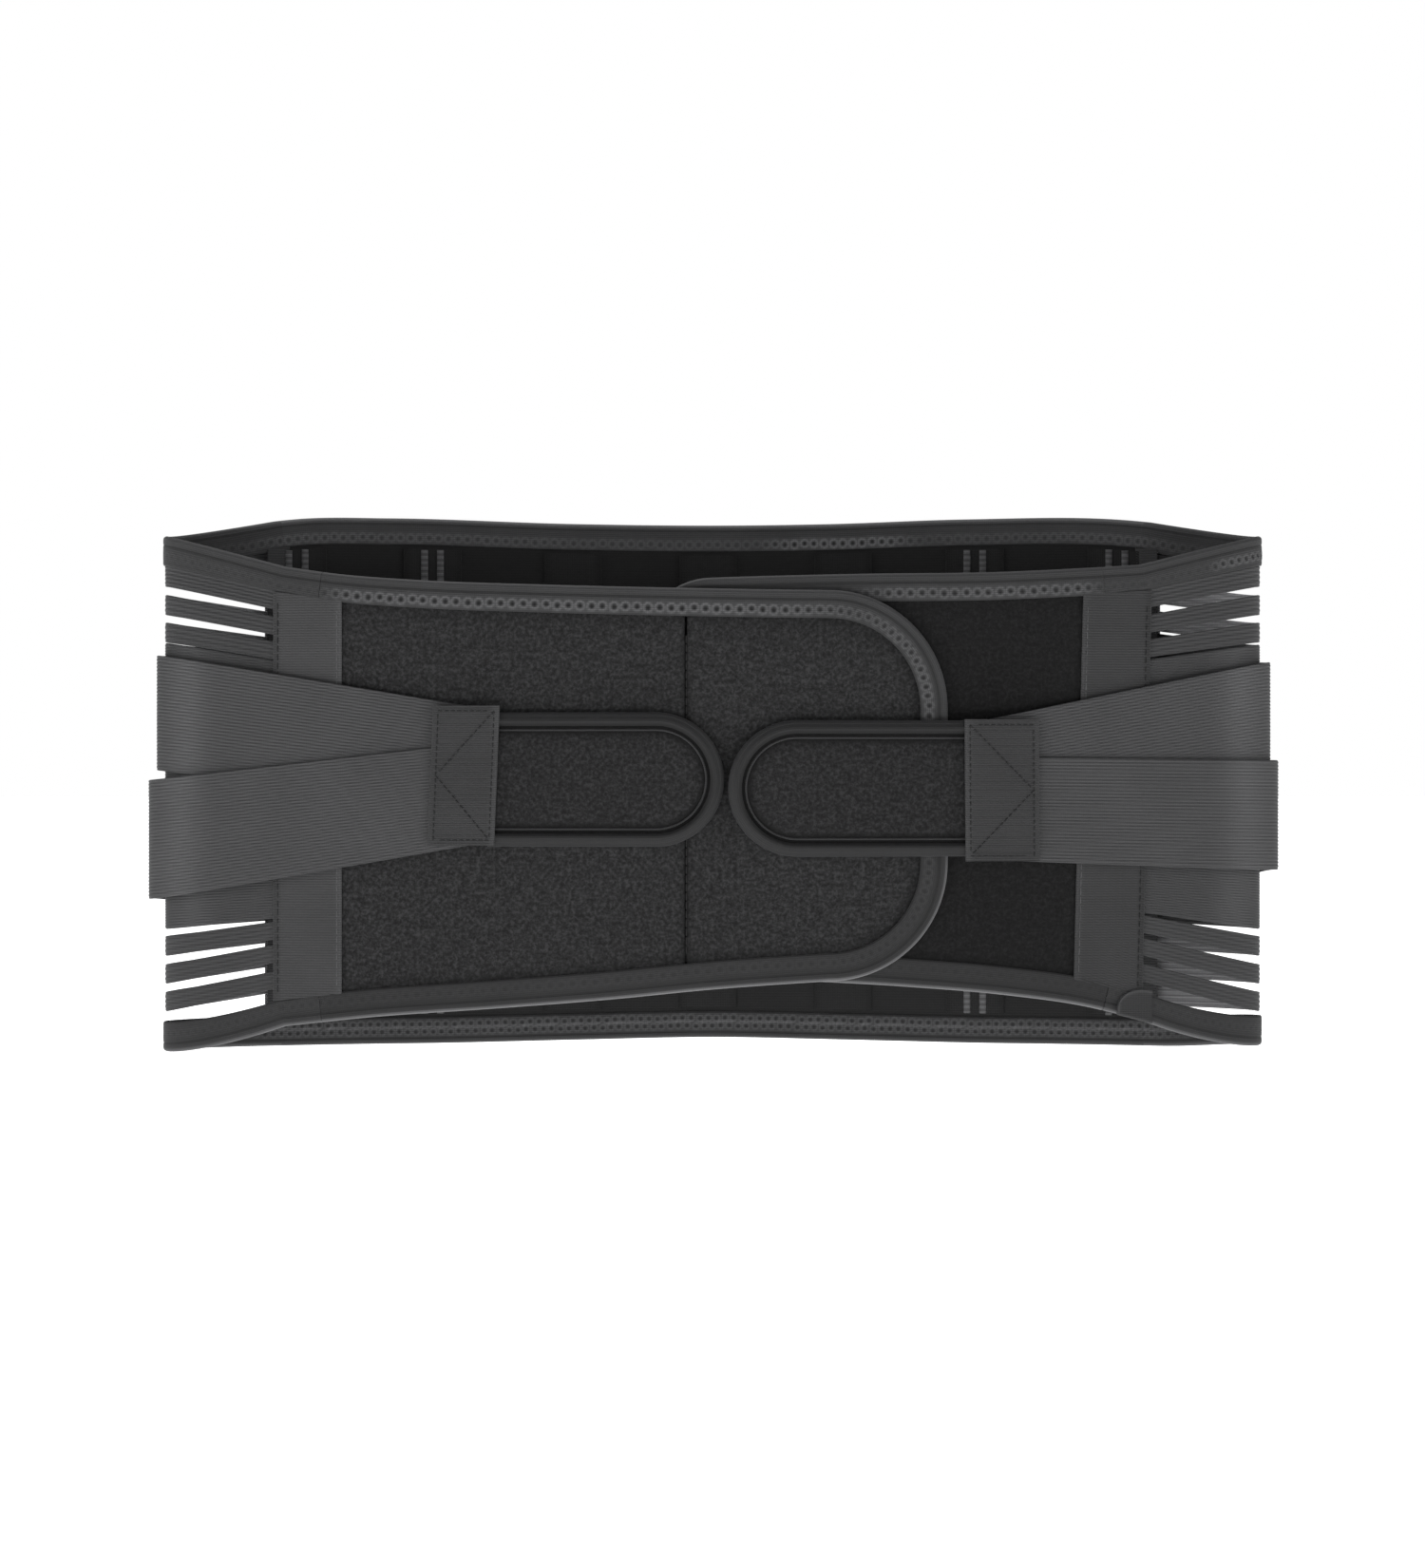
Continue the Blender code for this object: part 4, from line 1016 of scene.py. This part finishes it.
def build_front_binding(side, columns, shift_of_x, body, strengths, dark_face_rim_highlight_from):
    """strengths are (shares of its run, strength of its eyelets there).

    From the given share on, its face is as dark as the felt and its rim has a strong painted
    highlight."""
    s, z, inward = edge_of(columns)
    middle = shift_of_x(loop_xy(s)[0])
    half_depth = PANEL / 2 + GAP + TAPE / 2
    share = np.linspace(0.0, 1.0, len(s))
    strength = np.interp(share, *strengths)
    # blend into the darker face and the painted rim highlight
    dark_face_rim_highlight = ease(share, dark_face_rim_highlight_from - 0.04, dark_face_rim_highlight_from + 0.04)
    rows = ((1, 0.0080, EYELET_PITCH, 0.0, strength), (-1, 0.0080, EYELET_PITCH, 0.0, 0.3))
    tape = binding(f"{side}_front_tape", "binding", s, z, inward, middle, half_depth,
                   BINDING_WIDTH, rows, rim_tone=WHOLE_RIM_TONE + 4.4 * dark_face_rim_highlight,
                   outer_tone=1.0 - 0.40 * dark_face_rim_highlight)
    put(tape, body, f"{side}_front_binding")
    return s, z


def build_left_front():
    body = "left_front"
    columns = panel_outline(-FRONT_END_X, CLOSURE_TIP_X, CLOSURE_RADIUS, OUTER_TOP,
                            OUTER_BOTTOM)
    rim = build_front_binding("left", columns, outer_shift, body,
                              ((0.0, 0.02, 0.30, 0.35, 0.44, 0.50, 0.60, 1.0),
                               (0.1, 0.9, 0.9, 0.45, 0.75, 0.5, 0.20, 0.15)), 0.52)
    x, low_z, high_z = columns
    for name, here, seed in (("left_front", x <= CLOSURE_SEAM_X, 41),
                             ("left_closure", x >= CLOSURE_SEAM_X, 51)):
        put(felt_panel(f"{name}_felt", "felt", x[here], low_z[here], high_z[here], outer_shift,
                       PANEL, seed, seam_x=CLOSURE_SEAM_X, rim=rim, hem=BINDING_WIDTH - 0.001),
            body, f"{name}_panel")
    seam = upright_stitches(front(CLOSURE_SEAM_X + 0.0002), -0.066, 0.066,
                            float(outer_shift(CLOSURE_SEAM_X)) + PANEL / 2 - 0.0006,
                            0.003, 0.0006)
    put(threads("closure_seam", "dark_thread", seam, 0.0003), body)
    inner_face = PANEL / 2 + GAP / 2 + HOOK / 2
    hook_x = np.linspace(0.012, 0.078, 60)
    put(felt_panel("closure_hook_patch", "hook", hook_x, np.full(60, -0.046),
                   np.full(60, 0.046), lambda at: outer_shift(at) - inner_face, HOOK, 61),
        body, "left_closure_hook")
    front_grosgrain("left", OUTER_TOP, OUTER_BOTTOM, outer_shift, 0.0)


def front_grosgrain(side, top, bottom, shift, lean):
    """Upright tape over the seam between a front and its elastic side."""
    sign = SIDES[side]
    x = tuple(sign * value for value in GROSGRAIN_X)
    raised = PANEL / 2 + GAP + TAPE / 2 + 0.0001
    margin = BINDING_WIDTH - 0.0006
    # the right tape is painted darker: painted shade over the belt's right side
    tape = grosgrain_tape(f"{side}_grosgrain_tape", "grosgrain", x, beside(bottom, margin),
                          beside(top, -margin), lean, lambda at: shift(at) + raised, front,
                          selvedge_and_shadow_lines=(0.45, -0.45), tone=1.0 if side == "left" else 0.72)
    body = f"{side}_front"
    put(tape, body, f"{side}_front_grosgrain")
    for place, look in ((GROSGRAIN_X[0] + 0.0020, "thread"),
                        (GROSGRAIN_X[1] - 0.0020, "dark_thread")):
        low_z = float(curve_through(sign * place, bottom)) + BINDING_WIDTH + 0.003
        high_z = float(curve_through(sign * place, top)) - BINDING_WIDTH - 0.003
        z = np.linspace(low_z, high_z, LINE_POINTS)
        tilt = lean * (high_z - z) / (high_z - low_z)
        paths = stitch_line(front(sign * place - tilt), z,
                            float(shift(sign * place)) + raised + TAPE / 2)
        put(threads(f"{side}_grosgrain_{look}", look, paths, 0.00018), body)


def build_right_front():
    body = "right_front"
    columns = panel_outline(FRONT_END_X, INNER_TIP_X, INNER_RADIUS, INNER_TOP, INNER_BOTTOM)
    rim = build_front_binding("right", columns, inner_shift, body,
                              ((0.0, 0.02, 0.17, 0.20, 1.0), (0.1, 0.75, 0.75, 0.2, 0.1)), 0.50)
    put(felt_panel("right_front_felt", "dark_felt", *columns, inner_shift, PANEL, 71, rim=rim,
                   hem=BINDING_WIDTH - 0.001), body, "right_front_panel")
    front_grosgrain("right", INNER_TOP, INNER_BOTTOM, inner_shift, 0.004)
    build_corner_flap()


def build_corner_flap():
    """End of the inner front's binding, turned back over the side band at the lower right."""
    inner_x, outer_x = 0.1655, 0.1800
    x = np.linspace(inner_x, outer_x, 40)[:, None]
    share = np.linspace(0.0, 1.0, 30)[None, :]
    bottom = curve_through(x, INNER_BOTTOM) - 0.0004
    bulge = np.sqrt(np.clip(1.0 - ((outer_x - x) / (outer_x - inner_x)) ** 2, 0.0, 1.0))
    height = 0.0020 + 0.0118 * bulge
    z = bottom + height * share
    from_rim = np.minimum(np.minimum(share, 1.0 - share) * height, x - inner_x + 0.0003)
    roll = np.exp(-((from_rim - 0.0006) / 0.0007) ** 2)
    face = PANEL / 2 + GAP + TAPE + 0.0009
    relief = face + 0.0004 * roll + 0.0003 * round_edge(from_rim, 0.0010)
    rows = np.cos(2.0 * math.pi * (z + x) / 0.0022) * np.cos(2.0 * math.pi * (z - x) / 0.0022)
    # the rolled rim is lighter: a painted highlight
    tone = 1.0 + 1.0 * roll + 0.25 * rows
    put(slab("right_corner_flap", "binding", front(x) + 0.0 * z, z, relief, face - 0.0008 + 0 * z,
             tone), "right_front")


# ---------------------------------------------------------------- pulls
def strap_offset(pull, level, k):
    rise = 0.0 if level == "upper" else WEBBING + GAP
    at_back = BACK_OUTER_FACE + GAP + WEBBING / 2
    at_front = pull["pad_offset"] - WEBBING - GAP + rise - 0.0004
    bulge = pull[f"{level}_bulge"]
    over_panel = max(OVER_GROSGRAIN + rise, bulge * 0.8)
    rear = at_back + (bulge - at_back) * ease(k, -0.75, 0.0)
    fore = bulge + (over_panel - bulge) * ease(k, 0.0, 0.5)
    fore = np.where(k > 0.5, over_panel + (at_front - over_panel) * ease(k, 0.5, 1.0), fore)
    return np.where(k < 0.0, rear, fore)


def build_strap(side, level):
    pull = PULLS[side]
    for part, count in (("rear", 70), ("fore", 150)):
        s, k = side_run(side, STRAP_BACK_X, pull["strap_end_x"], count, part)
        way = toward_end(s, k, STRAP_BACK_X, pull["strap_end_x"])
        end = pull[level][0] if part == "rear" else pull[level][2]
        z_low, z_high = (pull[level][1][i] + (end[i] - pull[level][1][i]) * way
                         for i in (0, 1))
        # sheen: strength of the painted highlight near the fold
        piece = ribbon(f"{side}_{level}_strap_{part}", "strap", s, z_low, z_high,
                       strap_offset(pull, level, k), WEBBING, 0.00150, 0.00026,
                       tone_contrast=0.10 if level == "upper" else 0.06, sheen=0.50)
        bodies = (("back", f"{side}_front") if part == "rear"
                  else (f"{side}_front", f"{side}_pull"))
        fold_blend(piece, side, *bodies, rear=part == "rear")
        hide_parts(f"{side}_{level}_strap")


def tab_outline(side, inset):
    """Columns of the tab: from the patch to its half-round end."""
    pull, sign = PULLS[side], SIDES[side]
    middle, half = pull["tab_z"]
    centre = pull["tip_x"] + half
    x = np.linspace(pull["tab_x"], centre, 70)
    flat = np.full(70, half - inset)
    angle = np.linspace(0.0, math.radians(89.0), 44)[1:]
    x = np.concatenate([x, centre - (half - inset) * np.sin(angle)])
    reach = np.concatenate([flat, (half - inset) * np.cos(angle)])
    return sign * x, middle - reach, middle + reach


def build_tab(side):
    pull, sign, body = PULLS[side], SIDES[side], f"{side}_pull"
    base = pull["pad_offset"]
    columns = tab_outline(side, EDGE_INSET)
    s, z, inward = edge_of(columns)
    # the felt inside the edging is painted almost black: painted shade in the groove there
    pad = felt_panel(f"{side}_tab_felt", "tab_felt", *columns, still(base), PAD, 81, pinch=0.004,
                     step=0.0007, pinch_depth=0.45, rim=(s, z), hem=TAB_EDGING_WIDTH + 0.0022,
                     puff=0.0005, hem_shade=0.10)
    put(pad, body, f"{side}_tab_pad")
    tape = binding(f"{side}_tab_edging_tape", "edging", s, z, inward, base,
                   PAD / 2 + GAP / 2 + TAPE / 2, TAB_EDGING_WIDTH + 0.0003, roll=0.0018,
                   groove_at=0.0052, crown=0.0009)
    put(tape, body, f"{side}_tab_edging")
    inset = TAB_EDGING_WIDTH + 0.0019
    cord = [(s + inward[0] * inset, z + inward[1] * inset, base + PAD / 2 - 0.0003 + 0.0 * s)]
    put(threads(f"{side}_tab_piping", "binding", cord, 0.00042, 8), body)
    hook_x = sign * np.linspace(pull["tab_x"] - 0.004, pull["tip_x"] + 0.020, 60)
    clear = TAB_EDGING_WIDTH + 0.0030
    middle, half = pull["tab_z"]
    put(felt_panel(f"{side}_tab_hook_patch", "hook", hook_x, np.full(60, middle - half + clear),
                   np.full(60, middle + half - clear),
                   still(base - PAD / 2 - GAP / 2 - HOOK / 2), HOOK, 91), body,
        f"{side}_tab_hook")
    build_patch(side)


def build_patch(side):
    """Grosgrain patch over the straps' ends, with a box and an arrow of stitches."""
    pull, sign, body = PULLS[side], SIDES[side], f"{side}_pull"
    offset = pull["pad_offset"] + PAD / 2 + GAP + 1.6 * TAPE + 0.0005
    inner_x, outer_x = (sign * value for value in pull["patch_x"])
    z_low, z_high = pull["patch_z"]
    lean = 0.0022 if side == "left" else -0.0004
    tape = grosgrain_tape(f"{side}_patch_tape", "patch", (inner_x, outer_x), still(z_low),
                          still(z_high), lean, still(offset), front, rib_pitch=0.0009,
                          selvedge_and_shadow_lines=(0.6, 0.1))
    put(tape, body, f"{side}_tab_patch")
    margin = 0.0022
    near, far = inner_x + sign * margin, outer_x - sign * margin
    bottom, top, middle = z_low + margin, z_high - margin, (z_low + z_high) / 2
    corners = ((near, bottom), (far, bottom), (far, top), (near, top), (near, bottom))
    arrow = ((near, top), (far, middle), (near, bottom))
    paths = []
    for route in (corners, arrow):
        for (x0, z0), (x1, z1) in zip(route, route[1:]):
            x, z = np.linspace(x0, x1, 60), np.linspace(z0, z1, 60)
            tilt = lean * (z_high - z) / (z_high - z_low)
            paths += stitch_line(front(x - tilt), z, offset + TAPE / 2, 0.0017, 0.0009)
    put(threads(f"{side}_patch_stitch", "dark_thread", paths, 0.00026), body)


# ---------------------------------------------------------------- camera, floor and light
def build_camera():
    """Level, in front of the belt's middle, as far back as the view into the loop asks."""
    distance, frame_height, above_middle = 1.6, 0.66, 0.0028
    data = bpy.data.cameras.new("camera")
    data.sensor_width = 36.0
    data.lens = data.sensor_width * distance / frame_height
    camera = bpy.data.objects.new("camera", data)
    camera.location = (CENTRE_X, CENTRE_Y - distance, MID_Z + above_middle)
    camera.rotation_euler = (math.radians(90.0), 0.0, 0.0)
    bpy.context.scene.collection.objects.link(camera)
    bpy.context.scene.camera = camera


LIGHTS = (                # name, place, width, height and power
    ("low_front", (-0.40, -1.5, 0.10), 0.3, 0.3, 1.5),
    ("near_floor", (-0.02, -0.42, 0.02), 0.7, 0.05, 1.0),
    ("fill", (0.9, -1.3, 0.45), 0.4, 0.4, 0.7),
    ("left_side", (-1.3, -0.35, 0.25), 0.25, 0.5, 4.0),
    ("right_side", (1.3, -0.35, 0.25), 0.25, 0.5, 4.0),
    ("top_rim", (-0.2, 0.25, 1.3), 0.5, 0.5, 12.0),
)
FLOOR_REACH = 30.0


def build_stage():
    """White floor that lights the belt from below, and a sky that is white low down only."""
    level = CAD_LOW[2] - 0.0005
    corners = [(x * FLOOR_REACH, y * FLOOR_REACH, level)
               for x, y in ((-1, -1), (1, -1), (1, 1), (-1, 1))]
    paint, _, shader = new_material("studio_floor_paint", 0.9, 0.0)
    shader.inputs["Base Color"].default_value = (0.6, 0.6, 0.6, 1.0)
    shader.inputs["Emission Color"].default_value = (1.0, 1.0, 1.0, 1.0)
    shader.inputs["Emission Strength"].default_value = 1.25
    mesh = bpy.data.meshes.new("studio_floor")
    mesh.from_pydata(corners, [], [(0, 1, 2, 3)])
    mesh.materials.append(paint)
    floor = bpy.data.objects.new("studio_floor", mesh)
    bpy.context.scene.collection.objects.link(floor)
    world = bpy.data.worlds.new("studio")
    bpy.context.scene.world = world
    world.use_nodes = True
    tree = world.node_tree
    background = tree.nodes["Background"]
    coordinates = tree.nodes.new("ShaderNodeTexCoord")
    split = tree.nodes.new("ShaderNodeSeparateXYZ")
    tree.links.new(coordinates.outputs["Generated"], split.inputs[0])
    sky = ramp(tree, split.outputs[2], ((0.22, (1.0, 1.0, 1.0)), (0.40, (0.06, 0.06, 0.062))))
    tree.links.new(sky, background.inputs[0])
    background.inputs[1].default_value = 1.0
    for name, place, width, height, power in LIGHTS:
        data = bpy.data.lights.new(name, "AREA")
        data.shape = "RECTANGLE"
        data.energy, data.size, data.size_y = power, width, height
        light = bpy.data.objects.new(name, data)
        light.location = place
        aim = Vector((0.0, 0.0, MID_Z)) - Vector(place)
        light.rotation_euler = aim.to_track_quat("-Z", "Y").to_euler()
        bpy.context.scene.collection.objects.link(light)
    bpy.context.scene.view_settings.view_transform = "Standard"


build_camera()
build_stage()
build_back()
for side in SIDES:
    build_side(side)
build_left_front()
build_right_front()
for side in SIDES:
    for level in ("upper", "lower"):
        build_strap(side, level)
    build_tab(side)
